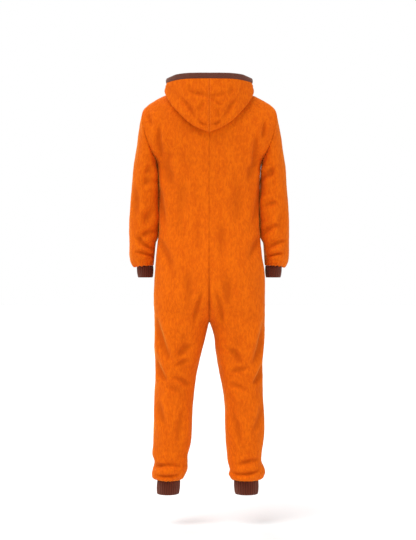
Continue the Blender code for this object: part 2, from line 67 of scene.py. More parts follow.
LOG = logging.getLogger("jumpsuit")
GARMENT = "garment"
# One millimetre in metres, and how far a curve's levers reach so that its arch is 1 deep.
MM = 0.001
ARCH = 4 / 3
# Millimetres: the thickness of the fleece and of the rib knit, the armhole's top and low end
# measured down, and a distance beyond everything.
FLEECE = 2.6
RIB_KNIT = 3.4
ARMHOLE_TOP = 60.0
ARMHOLE_LOW = 230.0
FAR = 1e3
# A ripple's number of waves, how much they run in x, y and z, and their lengths' spread.
RIPPLE_WAVES = 9
RIPPLE_HEADING = np.array([1.2, 1.2, 0.6])
RIPPLE_SPREAD = (0.7, 1.6)


class Side(Enum):
    """The wearer's side that a piece belongs to."""

    LEFT = "left"
    RIGHT = "right"


class Face(Enum):
    """The face of the garment that a panel covers."""

    BACK = 1
    FRONT = -1


class Level(NamedTuple):
    """A section of the torso: half widths and depths at one height."""

    down: float
    left: float
    right: float
    back: float
    front: float


class Leg(NamedTuple):
    """A section of both legs: edges, depths and the place of the seams at one height."""

    down: float
    left_out: float
    left_in: float
    right_in: float
    right_out: float
    back: float
    front: float
    seam: float


class Ring(NamedTuple):
    """A section of a sleeve, between a point on its outer side and one on its inner side."""

    out_x: float
    out_down: float
    in_x: float
    in_down: float
    middle: float
    depth: float
    bow: float


class HoodRow(NamedTuple):
    """A section of the hood: turn 90 is the centre back, 0 the shoulder, -90 the front."""

    turn: float
    fold_x: float
    fold_down: float
    rim_x: float
    rim_y: float
    rim_down: float


class Crease(NamedTuple):
    """A soft trough in the cloth, from one place to another on one face."""

    face: Face
    x: float
    down: float
    end_x: float
    end_down: float
    width: float
    depth: float
    bend: float


def creases(face: Face, rows: Sequence[Sequence[float]]) -> list[Crease]:
    """Returns the creases of one face, from rows with the other values in their order."""
    return [Crease(face, *row) for row in rows]


class Cuff(NamedTuple):
    """A rib-knit cuff: its edges at both ends, and its place from front to back."""

    outer: float
    inner: float
    top: float
    bottom: float
    outer_end: float
    inner_end: float
    middle: float
    depth: float
    ribs: int


class Wave(NamedTuple):
    """One wave of gathers round a tube, pushed to and fro so that it isn't even."""

    count: float
    height: float
    sway: float
    sway_count: float
    sway_start: float = 0.0
    start: float = 0.0


class Lamp(NamedTuple):
    """A soft distant light: degrees round from the back towards the left, and above the floor."""

    name: str
    turn: float
    rise: float
    power: float
    spread: float


def smooth_between(place: np.ndarray | float, knots: np.ndarray, values: np.ndarray,
                   slopes: np.ndarray) -> np.ndarray:
    """Reads smooth curves that run through values at knots with given slopes.

    Args:
        place: Place or places to read.
        knots: Rising places that have values.
        values: A value, or a row of points, at each knot.
        slopes: How fast the values change there.

    Returns:
        The value or row at each place.
    """
    index = np.clip(np.searchsorted(knots, place) - 1, 0, len(knots) - 2)
    shape = np.shape(place) + (1,) * (values.ndim - 1)
    span = np.reshape(knots[index + 1] - knots[index], shape)
    t = np.reshape(place - knots[index], shape) / span
    ends = values[index] * (1 + 2 * t) * (1 - t) ** 2 + values[index + 1] * t**2 * (3 - 2 * t)
    return ends + span * t * (1 - t) * (slopes[index] * (1 - t) - slopes[index + 1] * t)


def through(at: np.ndarray | float, table: Sequence[tuple[float, float]]) -> np.ndarray:
    """Reads the smooth curve through a table.

    Args:
        at: Place or places to read.
        table: Pairs of place and value, in rising order.

    Returns:
        The value at each place.
    """
    knots, values = np.array(table, float).T
    place = np.clip(at, knots[0], knots[-1])
    return smooth_between(place, knots, values, np.gradient(values, knots))


def column(rows: Sequence[NamedTuple], key: str, name: str, at: float) -> float:
    """Reads one named column of a section table between its rows.

    Args:
        rows: The table.
        key: The column that places a row.
        name: The column to read.
        at: The place along the key column.

    Returns:
        The value there.
    """
    return through(at, [(getattr(row, key), getattr(row, name)) for row in rows])


def bezier(corners: Sequence[Sequence[float]], share: np.ndarray) -> np.ndarray:
    """Reads a cubic curve.

    Args:
        corners: Its four corners.
        share: How far along it each point lies, from 0 to 1.

    Returns:
        The points.
    """
    a, b, c, d = (np.array(corner, float) for corner in corners)
    t = np.asarray(share)[:, None]
    return a * (1 - t) ** 3 + 3 * b * t * (1 - t) ** 2 + 3 * c * t**2 * (1 - t) + d * t**3


def unit(vector: np.ndarray) -> np.ndarray:
    """Returns the vector or vectors at length one."""
    return vector / np.linalg.norm(vector, axis=-1, keepdims=True)


def smooth_step(low: float, high: float, value: np.ndarray) -> np.ndarray:
    """Rises smoothly from 0 at low to 1 at high."""
    t = np.clip((value - low) / (high - low), 0, 1)
    return t * t * (3 - 2 * t)


def near(distance: np.ndarray, width: float) -> np.ndarray:
    """Falls off from 1 at a seam or a place to 0 a few widths away."""
    return np.exp(-((distance / width) ** 2))


def mirrored(points: np.ndarray, side: Side) -> np.ndarray:
    """Returns the points on the left, or their mirror image on the right."""
    return points if side is Side.LEFT else points * np.array([-1, 1, 1])


def gathered(turn: np.ndarray, waves: Sequence[Wave]) -> np.ndarray:
    """Adds up the waves of gathers at each turn round a tube, in radians."""
    total = np.zeros_like(turn)
    for wave in waves:
        sway = wave.sway * np.sin(wave.sway_count * turn + wave.sway_start)
        total = total + wave.height * np.sin(wave.count * turn + sway + wave.start)
    return total


def crowded_ends(count: int, crowd: float) -> np.ndarray:
    """Shares from 0 to 1 that lie closer together at both ends.

    Args:
        count: How many shares.
        crowd: 0 for even spacing, towards 1 for tight ends.

    Returns:
        The shares.
    """
    t = np.linspace(0, 1, count)
    return t - crowd * np.sin(2 * np.pi * t) / (2 * np.pi)


def resample(grid: np.ndarray, shares: np.ndarray, closed: bool = False) -> np.ndarray:
    """Reads a grid of points at new rows along smooth curves through its old rows.

    Args:
        grid: Points, rows by columns by three.
        shares: Where the new rows lie along the length, from 0 to 1.
        closed: Whether the last row joins the first again.

    Returns:
        The new grid, with one row for each share.
    """
    source = np.concatenate([grid[-2:], grid, grid[:3]]) if closed else grid
    steps = np.linalg.norm(np.diff(source, axis=0), axis=2).mean(axis=1)
    knots = np.concatenate([[0], np.cumsum(steps)])
    first, last = (knots[2], knots[2 + len(grid)]) if closed else (0, knots[-1])
    place = first + np.asarray(shares) * (last - first)
    return smooth_between(place, knots, source, np.gradient(source, knots, axis=0))


def grid_normals(grid: np.ndarray, closed: bool = False) -> np.ndarray:
    """Unit normals of a grid from the differences along its rows and columns.

    Args:
        grid: Points, rows by columns by three.
        closed: Whether the last column joins the first again.

    Returns:
        A normal for each point.
    """
    along = np.gradient(grid, axis=0)
    if closed:
        across = (np.roll(grid, -1, axis=1) - np.roll(grid, 1, axis=1)) / 2
    else:
        across = np.gradient(grid, axis=1)
    return unit(np.cross(across, along))


def edge_distance(grid: np.ndarray, axis: int, from_end: bool) -> np.ndarray:
    """Distance of each point from one edge of its grid, measured on the cloth.

    Args:
        grid: Points, rows by columns by three.
        axis: 0 to measure along the columns' run, 1 along the rows' run.
        from_end: Whether to measure from the last edge.

    Returns:
        Distances, rows by columns.
    """
    steps = np.linalg.norm(np.diff(grid, axis=axis), axis=2)
    zero = np.zeros_like(np.take(steps, [0], axis=axis))
    run = np.concatenate([zero, np.cumsum(steps, axis=axis)], axis=axis)
    total = np.take(run, [-1], axis=axis)
    return total - run if from_end else run


def nearest_distance(grid: np.ndarray, spots: np.ndarray) -> np.ndarray:
    """Distance of each point of a grid from the nearest of some spots."""
    reach = np.full(grid.shape[:2], np.inf)
    for spot in spots:
        reach = np.minimum(reach, np.linalg.norm(grid - spot, axis=2))
    return reach


def ripple(points: np.ndarray, seed: int, length: float) -> np.ndarray:
    """A smooth unevenness over space, without a repeat.

    Args:
        points: Places in millimetres, with a last axis of three.
        seed: Which unevenness.
        length: Its usual wave length in millimetres.

    Returns:
        A value near -1 to 1 for each place.
    """
    rng = np.random.default_rng(seed)
    total = np.zeros(points.shape[:-1])
    for _ in range(RIPPLE_WAVES):
        heading = unit(rng.normal(size=3) * RIPPLE_HEADING)
        wave = length * rng.uniform(*RIPPLE_SPREAD)
        total += np.sin(points @ heading * 2 * np.pi / wave + rng.uniform(0, 2 * np.pi))
    return total / (RIPPLE_WAVES / 2)


def add_mesh(name: str, points: np.ndarray, quads: np.ndarray, finish: bpy.types.Material,
             masks: dict[str, np.ndarray] | None = None) -> bpy.types.Object:
    """Makes one smooth object from millimetre points and quads.

    Args:
        name: The object's name.
        points: One row of three for each point.
        quads: One row of four point numbers for each face.
        finish: The material.
        masks: Values for each point, kept as named attributes.

    Returns:
        The object, in the scene.
    """
    mesh = bpy.data.meshes.new(name)
    mesh.vertices.add(len(points))
    mesh.vertices.foreach_set("co", (points * MM).astype(np.float32).ravel())
    corners = points[quads]
    volume = np.einsum("ij,ij->i", corners[:, 0], np.cross(corners[:, 1], corners[:, 2])).sum()
    volume += np.einsum("ij,ij->i", corners[:, 0], np.cross(corners[:, 2], corners[:, 3])).sum()
    if volume < 0:
        quads = quads[:, ::-1]
    mesh.loops.add(quads.size)
    mesh.loops.foreach_set("vertex_index", quads.astype(np.int32).ravel())
    mesh.polygons.add(len(quads))
    mesh.polygons.foreach_set("loop_start", np.arange(0, quads.size, 4, dtype=np.int32))
    mesh.polygons.foreach_set("use_smooth", np.ones(len(quads), bool))
    mesh.update(calc_edges=True)
    mesh.validate()
    for label, values in (masks or {}).items():
        layer = mesh.attributes.new(label, "FLOAT", "POINT")
        layer.data.foreach_set("value", values.astype(np.float32).ravel())
    mesh.materials.append(finish)
    obj = bpy.data.objects.new(name, mesh)
    bpy.context.scene.collection.objects.link(obj)
    return obj


def wall_quads(rows: int, columns: int, closed: bool) -> np.ndarray:
    """Faces of a cloth wall made of two grids, one after the other, and its edges.

    Args:
        rows: Rows of each grid.
        columns: Columns of each grid.
        closed: Whether the last column joins the first again.

    Returns:
        One row of four point numbers for each face.
    """
    count = rows * columns
    index = np.arange(count).reshape(rows, columns)
    if closed:
        index = np.concatenate([index, index[:, :1]], axis=1)
    a, b = index[:-1, :-1].ravel(), index[:-1, 1:].ravel()
    c, d = index[1:, 1:].ravel(), index[1:, :-1].ravel()
    parts = [np.stack([a, b, c, d], axis=1), np.stack([d, c, b, a], axis=1) + count]
    edges = [index[0, ::-1], index[-1]]
    if not closed:
        edges += [index[:, 0], index[::-1, -1]]
    for edge in edges:
        start, end = edge[:-1], edge[1:]
        parts.append(np.stack([start, end, end + count, start + count], axis=1))
    return np.concatenate(parts)


def add_wall(name: str, outer: np.ndarray, inner: np.ndarray, finish: bpy.types.Material,
             closed: bool = False, masks: dict[str, np.ndarray] | None = None
             ) -> bpy.types.Object:
    """Makes a cloth wall between two grids of points.

    Args:
        name: The object's name.
        outer: The outer grid.
        inner: The inner grid, of the same shape.
        finish: The material.
        closed: Whether the wall is a tube.
        masks: Values for each point of a grid, kept as named attributes on both faces.

    Returns:
        The object, in the scene.
    """
    points = np.concatenate([outer.reshape(-1, 3), inner.reshape(-1, 3)])
    both = {label: np.concatenate([v.ravel(), v.ravel()]) for label, v in (masks or {}).items()}
    return add_mesh(name, points, wall_quads(*outer.shape[:2], closed), finish, both)


def settle(obj: bpy.types.Object, node: str) -> None:
    """Makes a piece ride on the garment and stand for its node.

    Args:
        obj: The piece.
        node: The node it stands for, or an empty word for none.
    """
    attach(obj, GARMENT)
    if node:
        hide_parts(node)
    LOG.info("made %s: %d faces", obj.name, len(obj.data.polygons))


def relax(grid: np.ndarray, first: int, last: int, times: int, pull: float = 0.5) -> None:
    """Evens out the inner points of some rows of a grid, in place.

    Args:
        grid: Points, rows by columns by three.
        first: The first row to change.
        last: The row after the last one to change.
        times: How often each point moves towards the middle of its neighbours.
        pull: How far it moves each time, from 0 to 1.
    """
    weight = np.zeros(len(grid))
    weight[first:last] = pull
    blend = weight[1:-1, None, None]
    for _ in range(times):
        around = grid[:-2, 1:-1] + grid[2:, 1:-1] + grid[1:-1, :-2] + grid[1:-1, 2:]
        grid[1:-1, 1:-1] = grid[1:-1, 1:-1] * (1 - blend) + around / 4 * blend


@dataclass
class BodyPattern:
    """The cut of the body: section tables, neckline, armhole and crotch."""

    torso: list[Level] = field(default_factory=lambda: [
        Level(230, 186, 186, 130, 126),
        Level(300, 183, 183, 119, 125),
        Level(370, 181, 181, 109, 123),
        Level(440, 181, 181, 106, 122),
        Level(510, 184, 184, 112, 124),
        Level(570, 190, 191, 124, 125),
        Level(630, 196, 199, 134, 122),
        Level(690, 199, 200, 135, 115),
        Level(818, 199, 200, 112, 92),
    ])
    legs: list[Leg] = field(default_factory=lambda: [
        Leg(818, 199, 1.5, 2.5, 200, 112, 92, 0),
        Leg(842, 199, 7, 11, 200, 108, 92, 0),
        Leg(864, 199, 12, 17, 200, 104, 90, 0),
        Leg(907, 198, 23, 21, 197, 98, 86, 0),
        Leg(950, 195, 34, 28, 193, 93, 84, 1),
        Leg(1000, 195, 45, 37, 193, 86, 82, 2),
        Leg(1060, 196, 53, 48, 193, 83, 77, 3),
        Leg(1123, 199, 59, 56, 197, 83, 72, 5),
        Leg(1190, 201, 61, 57, 197, 79, 68, 6),
        Leg(1253, 202, 66, 60, 193, 72, 64, 7),
        Leg(1290, 205, 75, 64, 188, 66, 60, 7),
        Leg(1316, 198, 75, 67, 188, 64, 58, 7),
        Leg(1342, 204, 77, 73, 199, 69, 64, 7),
        Leg(1362, 206, 87, 70, 197, 68, 63, 7),
        Leg(1374, 199, 97, 80, 188, 60, 55, 7),
        Leg(1379, 187, 104, 88, 177, 47, 47, 7),
    ])
    sleeve: list[Ring] = field(default_factory=lambda: [
        Ring(230, 48, 186, 230, -1, 83, 22),
        Ring(241, 78, 187.5, 234, -2, 83, 14),
        Ring(249, 112, 188.5, 240, -3, 82, 8),
        Ring(258, 155, 189, 250, -5, 80, 3),
        Ring(267, 208, 189, 268, -7, 77, 0),
        Ring(275, 262, 188, 300, -9, 74, 0),
        Ring(281, 330, 188, 350, -12, 71, 0),
        Ring(286, 400, 188, 410, -16, 68, 0),
        Ring(289, 470, 190, 472, -20, 66, 0),
        Ring(289, 535, 193, 530, -23, 66, 0),
        Ring(288, 575, 197, 570, -24, 68, 0),
        Ring(281, 602, 200, 596, -25, 62, 0),
        Ring(270, 614, 202, 607, -25, 48, 0),
        Ring(262, 610, 202.5, 610, -25, 37, 0),
    ])
    centre_back: list[tuple[float, float]] = field(default_factory=lambda: [
        (-18, 72), (30, 100), (90, 122), (160, 133), (230, 130), (300, 119),
    ])
    centre_front: list[tuple[float, float]] = field(default_factory=lambda: [
        (30, 88), (90, 106), (160, 120), (230, 126), (300, 125),
    ])
    neck_width: float = 80.0
    neck_top: float = -28.0
    neck_back: float = 72.0
    neck_back_down: float = -18.0
    neck_front: float = 88.0
    neck_front_down: float = 30.0
    neck_round: float = 1.4
    shoulder: tuple[tuple[float, float, float], ...] = ((135, 0, 12), (205, 0, -15))
    fork_down: float = 690.0
    crotch_down: float = 818.0
    fullness: float = 0.62
    columns: int = 8
    armhole_rows: int = 9
    neck_rows: int = 3
    torso_rows: int = 10
    fork_rows: int = 5
    leg_rows: int = 11
    hem_rows: int = 5
    hem_steps: int = 1
    relaxing: int = 2
    relaxed_from: int = 3
    relaxed_to: int = 13
    turn_rows: int = 0
    turn_relaxing: int = 0
    zip_bottom: float = 646.0
    zip_open: float = 4.5
    zip_closes: float = 20.0
    fork_turn: float = 1.5
    inside: tuple[float, float, float] = (60.0, 0.0, -500.0)

    def depth_name(self, face: Face) -> str:
        """Returns the name of the depth column of this face."""
        return "back" if face is Face.BACK else "front"

    def ring_points(self, ring: Ring, turns: np.ndarray) -> np.ndarray:
        """Points round a sleeve section: turn 0 outside, 90 at the back, 180 inside."""
        turn = np.radians(turns)
        x = (ring.out_x + ring.in_x) / 2 + (ring.out_x - ring.in_x) / 2 * np.cos(turn)
        x = x + ring.bow * np.abs(np.sin(turn))
        down = (ring.out_down + ring.in_down) / 2
        down = down + (ring.out_down - ring.in_down) / 2 * np.cos(turn)
        y = ring.middle + ring.depth * np.sin(turn)
        return np.stack([x, y, -down], axis=1)

    def zip_edge(self, down: np.ndarray) -> np.ndarray:
        """Half the gap between the fronts: open along the zip and closed below it."""
        below = smooth_step(self.zip_bottom, self.zip_bottom + self.zip_closes, down)
        return self.zip_open * (1 - below)

    def neckline(self, turn: float, face: Face) -> np.ndarray:
        """Neckline point: turn 0 at the shoulder seam, 90 at the centre of this face."""
        reach = self.neck_back if face is Face.BACK else self.neck_front
        end = self.neck_back_down if face is Face.BACK else self.neck_front_down
        rise = np.sin(np.radians(turn))
        drop = rise**self.neck_round * (end - self.neck_top)
        across = self.neck_width * np.cos(np.radians(turn))
        return np.array([across, face.value * reach * rise, -self.neck_top - drop])

    def level_row(self, width: float, depth: float, face: Face, down: float,
                  share: np.ndarray) -> np.ndarray:
        """Half a body section at one height, from the centre line to the side seam."""
        full = self.fullness
        corners = [(0, depth), (full * width, depth), (width, full * depth), (width, 0)]
        flat = bezier(corners, share)
        return np.stack([flat[:, 0], face.value * flat[:, 1], np.full(len(share), -down)], axis=1)

    def upper_rows(self, side: Side, face: Face, share: np.ndarray) -> list[np.ndarray]:
        """Rows from the shoulder seam to the armpit, filled between the four seams round them."""
        steps = np.linspace(0, 1, self.armhole_rows + 1)
        outer = self.ring_points(self.sleeve[0], face.value * 180 * steps)
        inner = [self.neckline(90 * i / self.neck_rows, face) for i in range(self.neck_rows)]
        table = self.centre_back if face is Face.BACK else self.centre_front
        last = self.torso[0].down
        for down in np.linspace(table[0][0], last, self.armhole_rows - self.neck_rows + 1):
            inner.append(np.array([0, face.value * through(down, table), -down]))
        inner = np.array(inner)
        top = bezier([inner[0], *self.shoulder, outer[0]], share)
        width = column(self.torso, "down", side.value, last)
        depth = column(self.torso, "down", self.depth_name(face), last)
        bottom = self.level_row(width, depth, face, last, share)
        bottom[-1] = outer[-1]
        rows = []
        for i, v in enumerate(steps):
            u = share[:, None]
            sides = (1 - u) * inner[i] + u * outer[i]
            ends = (1 - v) * top + v * bottom
            corners = (1 - u) * ((1 - v) * inner[0] + v * inner[-1])
            corners = corners + u * ((1 - v) * outer[0] + v * outer[-1])
            rows.append(sides + ends - corners)
        return rows

    def fork_row(self, side: Side, face: Face, turn: float, share: np.ndarray) -> np.ndarray:
        """A row whose inner end runs under the crotch, from the seat seam to the inseam."""
        part = np.sin(np.radians(turn))
        down = self.fork_down + (self.crotch_down - self.fork_down) * part
        start_depth = column(self.torso, "down", self.depth_name(face), self.fork_down)
        leg_depth = getattr(self.legs[0], self.depth_name(face))
        width = column(self.torso, "down", side.value, down)
        inner_x = getattr(self.legs[0], side.value + "_in") * part
        heading = np.radians(90 * part**self.fork_turn)
        full = self.fullness * (1 - part)
        lift = ARCH * leg_depth * part
        reach = full * width + lift
        start = np.array([inner_x, start_depth * np.cos(np.radians(turn))])
        second = np.array([width, full * start_depth + lift])
        # The middle of such a curve is an eighth of each end and three eighths of each lever.
        seat = (leg_depth - start[1] / 8 - second[1] * 3 / 8) / (3 / 8)
        first = start + np.array([reach * np.cos(heading), part * (seat - start[1])])
        flat = bezier([start, first, second, (width, 0)], share)
        return np.stack([flat[:, 0], face.value * flat[:, 1], np.full(len(share), -down)], axis=1)

    def leg_row(self, side: Side, face: Face, down: float, share: np.ndarray) -> np.ndarray:
        """Half a leg section, from the inseam to the side seam."""
        inner_x = column(self.legs, "down", side.value + "_in", down)
        outer_x = column(self.legs, "down", side.value + "_out", down)
        depth = column(self.legs, "down", self.depth_name(face), down)
        seam = column(self.legs, "down", "seam", down)
        lift = ARCH * depth
        flat = bezier([(inner_x, 0), (inner_x, lift), (outer_x, lift), (outer_x, 0)], share)
        y = seam + face.value * flat[:, 1]
        return np.stack([flat[:, 0], y, np.full(len(share), -down)], axis=1)

    def panel(self, side: Side, face: Face) -> np.ndarray:
        """Points of one panel, rows from shoulder to ankle by columns from centre to side."""
        share = np.linspace(0, 1, self.columns + 1)
        rows = self.upper_rows(side, face, share)
        first = self.torso[0].down
        for down in np.linspace(first, self.fork_down, self.torso_rows + 1)[1:]:
            width = column(self.torso, "down", side.value, down)
            depth = column(self.torso, "down", self.depth_name(face), down)
            rows.append(self.level_row(width, depth, face, down, share))
        for i in range(self.fork_rows):
            rows.append(self.fork_row(side, face, 90 * (i + 1) / self.fork_rows, share))
        hem = [leg.down for leg in self.legs[-self.hem_rows - 1:]]
        downs = list(np.linspace(self.crotch_down, hem[0], self.leg_rows + 1)[1:])
        for start, end in zip(hem, hem[1:]):
            downs += list(np.linspace(start, end, self.hem_steps + 1)[1:])
        for down in downs:
            rows.append(self.leg_row(side, face, down, share))
        grid = np.array(rows)
        relax(grid, self.relaxed_from, self.relaxed_to, self.relaxing)
        turn = self.crotch_row()
        relax(grid, turn - self.turn_rows, turn + self.turn_rows, self.turn_relaxing)
        return grid

    def crotch_row(self) -> int:
        """Returns the number of the row that ends at the crotch point."""
        return self.armhole_rows + self.torso_rows + self.fork_rows

    def outward(self, grid: np.ndarray) -> np.ndarray:
        """Outward normals of a panel, square to the seam planes along its edges."""
        normal = grid_normals(grid)
        if ((grid - self.inside) * normal).sum() < 0:
            normal = -normal
        normal[self.armhole_rows + 1:, -1, 1] = 0
        normal[0, :, 1] = 0
        normal[self.neck_rows:self.armhole_rows + self.torso_rows + 1, 0, 0] = 0
        normal[self.crotch_row():, 0, 1] = 0
        return unit(normal)


@dataclass
class Drape:
    """How the cloth lies: soft creases, unevenness and lumps, and the painted shade in its folds.
    """

    creases: list[Crease] = field(default_factory=lambda: [
        *creases(Face.BACK, [
            (178, 112, 166, 236, 12, 7.5, 4), (150, 150, 138, 262, 15, 3.5, 5),
            (219, 60, 200, 122, 9, 4.5, 2), (-196, 96, -184, 170, 10, 6.0, -3),
            (-168, 140, -162, 262, 13, 6.0, 3), (168, 236, 128, 350, 20, 5.0, -8),
            (-168, 232, -132, 338, 18, 4.5, 7), (176, 330, 150, 480, 17, 5.0, 6),
            (-176, 345, -152, 465, 16, 5.0, -5), (92, 290, 100, 520, 28, 3.2, 9),
            (-96, 262, -86, 500, 26, 3.0, -9), (38, 400, 32, 560, 20, 2.6, 5),
            (-46, 430, -36, 600, 20, 2.8, -4), (186, 512, 130, 622, 17, 5.0, -6),
            (-190, 500, -140, 596, 15, 4.6, 6), (72, 620, 62, 790, 22, 3.6, 6),
            (-62, 636, -52, 800, 22, 3.6, -6), (20, 690, 54, 818, 11, 6.0, 5),
            (-16, 684, -46, 818, 11, 5.5, -5), (190, 796, 129, 958, 16, 9.0, 9),
            (-196, 800, -153, 960, 16, 9.0, -10), (190, 950, 150, 1024, 13, 7.5, 5),
            (-192, 962, -153, 1034, 13, 7.5, -6), (44, 884, 126, 942, 12, 4.0, 8),
            (-48, 896, -118, 960, 12, 4.4, -8), (62, 946, 128, 968, 10, 3.6, 6),
            (-70, 984, -146, 962, 11, 4.0, 7), (66, 1040, 140, 1006, 12, 4.2, 8),
            (-66, 1030, -140, 1058, 12, 4.0, -7), (96, 1060, 158, 1040, 14, 3.2, 5),
            (94, 830, 104, 1000, 24, 3.6, -6), (-98, 850, -106, 1000, 24, 3.6, 6),
            (182, 1090, 150, 1190, 15, 4.0, 5), (-186, 1100, -160, 1200, 15, 4.0, -5),
            (92, 1120, 112, 1240, 14, 3.6, 4), (-80, 1130, -108, 1250, 14, 4.2, -6),
            (204, 1326, 98, 1324, 9, 7.5, -6), (194, 1356, 104, 1350, 7, 6.5, 5),
            (178, 1296, 106, 1304, 10, 4.2, 5), (-74, 1350, -186, 1336, 8, 7.0, 7),
            (-88, 1374, -156, 1374, 5, 3.5, 3), (-186, 1300, -96, 1322, 10, 4.6, 6),
            (196, 578, 270, 562, 8, 6.0, 5), (200, 552, 262, 506, 11, 6.5, -5),
            (196, 480, 254, 524, 12, 5.0, 6), (192, 300, 240, 330, 14, 5.0, 6),
            (200, 400, 232, 470, 13, 3.8, 5), (262, 330, 270, 450, 14, 3.0, -4),
            (210, 250, 228, 320, 12, 4.4, 4), (-190, 312, -236, 268, 13, 6.5, -7),
            (-194, 408, -242, 384, 13, 5.5, -6), (-198, 500, -248, 462, 12, 6.0, -6),
            (-206, 552, -276, 520, 11, 6.5, -6), (-206, 580, -270, 566, 7, 6.0, -4),
            (-212, 240, -228, 340, 12, 4.0, -4), (-262, 400, -252, 520, 13, 3.0, 4),
        ]),
        *creases(Face.FRONT, [
            (178, 120, 160, 240, 12, 7.0, 4), (-180, 112, -164, 244, 12, 6.5, -4),
            (146, 236, 96, 340, 18, 4.5, -6), (-150, 228, -104, 322, 18, 4.2, 5),
            (60, 140, 70, 300, 22, 3.0, 6), (-66, 160, -62, 330, 22, 3.0, -5),
            (176, 400, 120, 500, 16, 4.6, 5), (-178, 380, -124, 492, 16, 4.4, -6),
            (40, 420, 46, 600, 20, 2.8, 5), (-44, 440, -40, 610, 20, 2.6, -5),
            (10, 700, 76, 748, 12, 5.2, 4), (-10, 712, -80, 754, 12, 5.4, -4),
            (16, 760, 92, 804, 11, 4.8, 4), (-14, 772, -90, 812, 11, 4.8, -4),
            (192, 790, 134, 920, 15, 7.0, 6), (-194, 796, -140, 930, 15, 7.0, -6),
            (84, 980, 156, 1006, 11, 4.6, 4), (-80, 990, -152, 1014, 11, 4.6, -4),
            (184, 1030, 112, 1064, 12, 4.6, -5), (-180, 1046, -108, 1078, 12, 4.6, 5),
            (198, 1302, 98, 1318, 9, 6.0, 4), (92, 1338, 188, 1348, 8, 6.0, -4),
            (-80, 1320, -186, 1304, 9, 6.0, 4), (-184, 1348, -84, 1354, 8, 5.4, -3),
            (200, 480, 272, 506, 11, 5.6, 3), (-200, 474, -270, 500, 11, 5.4, -3),
            (198, 396, 264, 424, 12, 5.2, 3), (-198, 390, -260, 420, 12, 5.2, -3),
            (200, 552, 280, 536, 10, 5.6, -4), (206, 574, 282, 580, 8, 5.0, 3),
            (-206, 576, -280, 566, 8, 5.4, -3),
        ]),
    ])
    deepen: float = 1.3
    narrow: float = 0.72
    ridge_share: float = 0.55
    unevenness: float = 1.6
    wave: float = 105.0
    lumps: float = 0.45
    lump_length: float = 19.0
    lump_calm: float = 2 / 3
    # Millimetres that a trough sinks before its painted shade is full.
    shaded_at: float = 5.0
    facing: tuple[float, float] = (0.06, 0.5)
    tapering: float = 0.8
    width_at_ends: float = 0.7
    width_added: float = 0.5
    ridge_place: float = 2.0
    ridge_width: float = 1.1
    wave_seed: int = 5
    lump_seed: int = 11

    def crease_depth(self, points: np.ndarray, normals: np.ndarray) -> np.ndarray:
        """Adds up what the creases take from the cloth.

        Args:
            points: Places in millimetres.
            normals: The cloth's outward normals there.

        Returns:
            How far each place moves out, below 0 in a trough.
        """
        total = np.zeros(points.shape[:-1])
        for crease in self.creases:
            facing = smooth_step(*self.facing, normals[..., 1] * crease.face.value)
            start = np.array([crease.x, -crease.down])
            run = np.array([crease.end_x, -crease.end_down]) - start
            length = np.linalg.norm(run)
            heading = run / length
            offset = points[..., [0, 2]] - start
            share = offset @ heading / length
            aside = offset @ np.array([-heading[1], heading[0]])
            aside = aside - crease.bend * 4 * share * (1 - share)
            body = np.clip(1 - (2 * share - 1) ** 2, 0, 1) ** self.tapering
            width = self.width_at_ends + self.width_added * body
            width = crease.width * self.narrow * width
            ridge = near(np.abs(aside) - self.ridge_place * width, self.ridge_width * width)
            form = self.ridge_share * ridge - near(aside, width)
            total += self.deepen * crease.depth * body * facing * form
        return total

    def laid(self, grid: np.ndarray, normals: np.ndarray, calm: np.ndarray) -> np.ndarray:
        """Moves each point of a grid as its cloth lies.

        Args:
            grid: Points of the smooth shape.
            normals: Its outward normals.
            calm: How freely each point may move, from 0 to 1.

        Returns:
            How far each point moves out.
        """
        uneven = self.unevenness * ripple(grid, self.wave_seed, self.wave)
        lumps = self.lumps * ripple(grid, self.lump_seed, self.lump_length)
        move = (self.crease_depth(grid, normals) + uneven) * calm
        return move + lumps * smooth_step(0, self.lump_calm, calm)

    def fold_shade_mask(self, move: np.ndarray) -> np.ndarray:
        """How much painted shade each point of a fold gets, from how far it has moved in."""
        return np.clip(-move / self.shaded_at, 0, 1)


@dataclass(frozen=True)
class ArmholePuff:
    """How far cloth stands out beside the armhole seam, at its top and at the armpit."""

    top: float
    armpit: float
    reach: float = 5.0
    fade: float = 24.0

    def at(self, distance: np.ndarray, down: np.ndarray) -> np.ndarray:
        """Reads the puff at distances from the seam and heights."""
        puff = self.top + (self.armpit - self.top) * smooth_step(ARMHOLE_TOP, ARMHOLE_LOW, down)
        return puff * (1 - near(distance, self.reach)) * np.exp(-distance / self.fade)


class Noise(NamedTuple):
    """A noise texture: how fine it is, how many octaves it has and how rough it is."""

    scale: float
    detail: float
    roughness: float = 0.5


def opaque(colour: Colour, share: float = 1.0) -> tuple[float, float, float, float]:
    """Returns a colour times a share, with full opacity."""
    red, green, blue = (min(1.0, share * part) for part in colour)
    return red, green, blue, 1.0


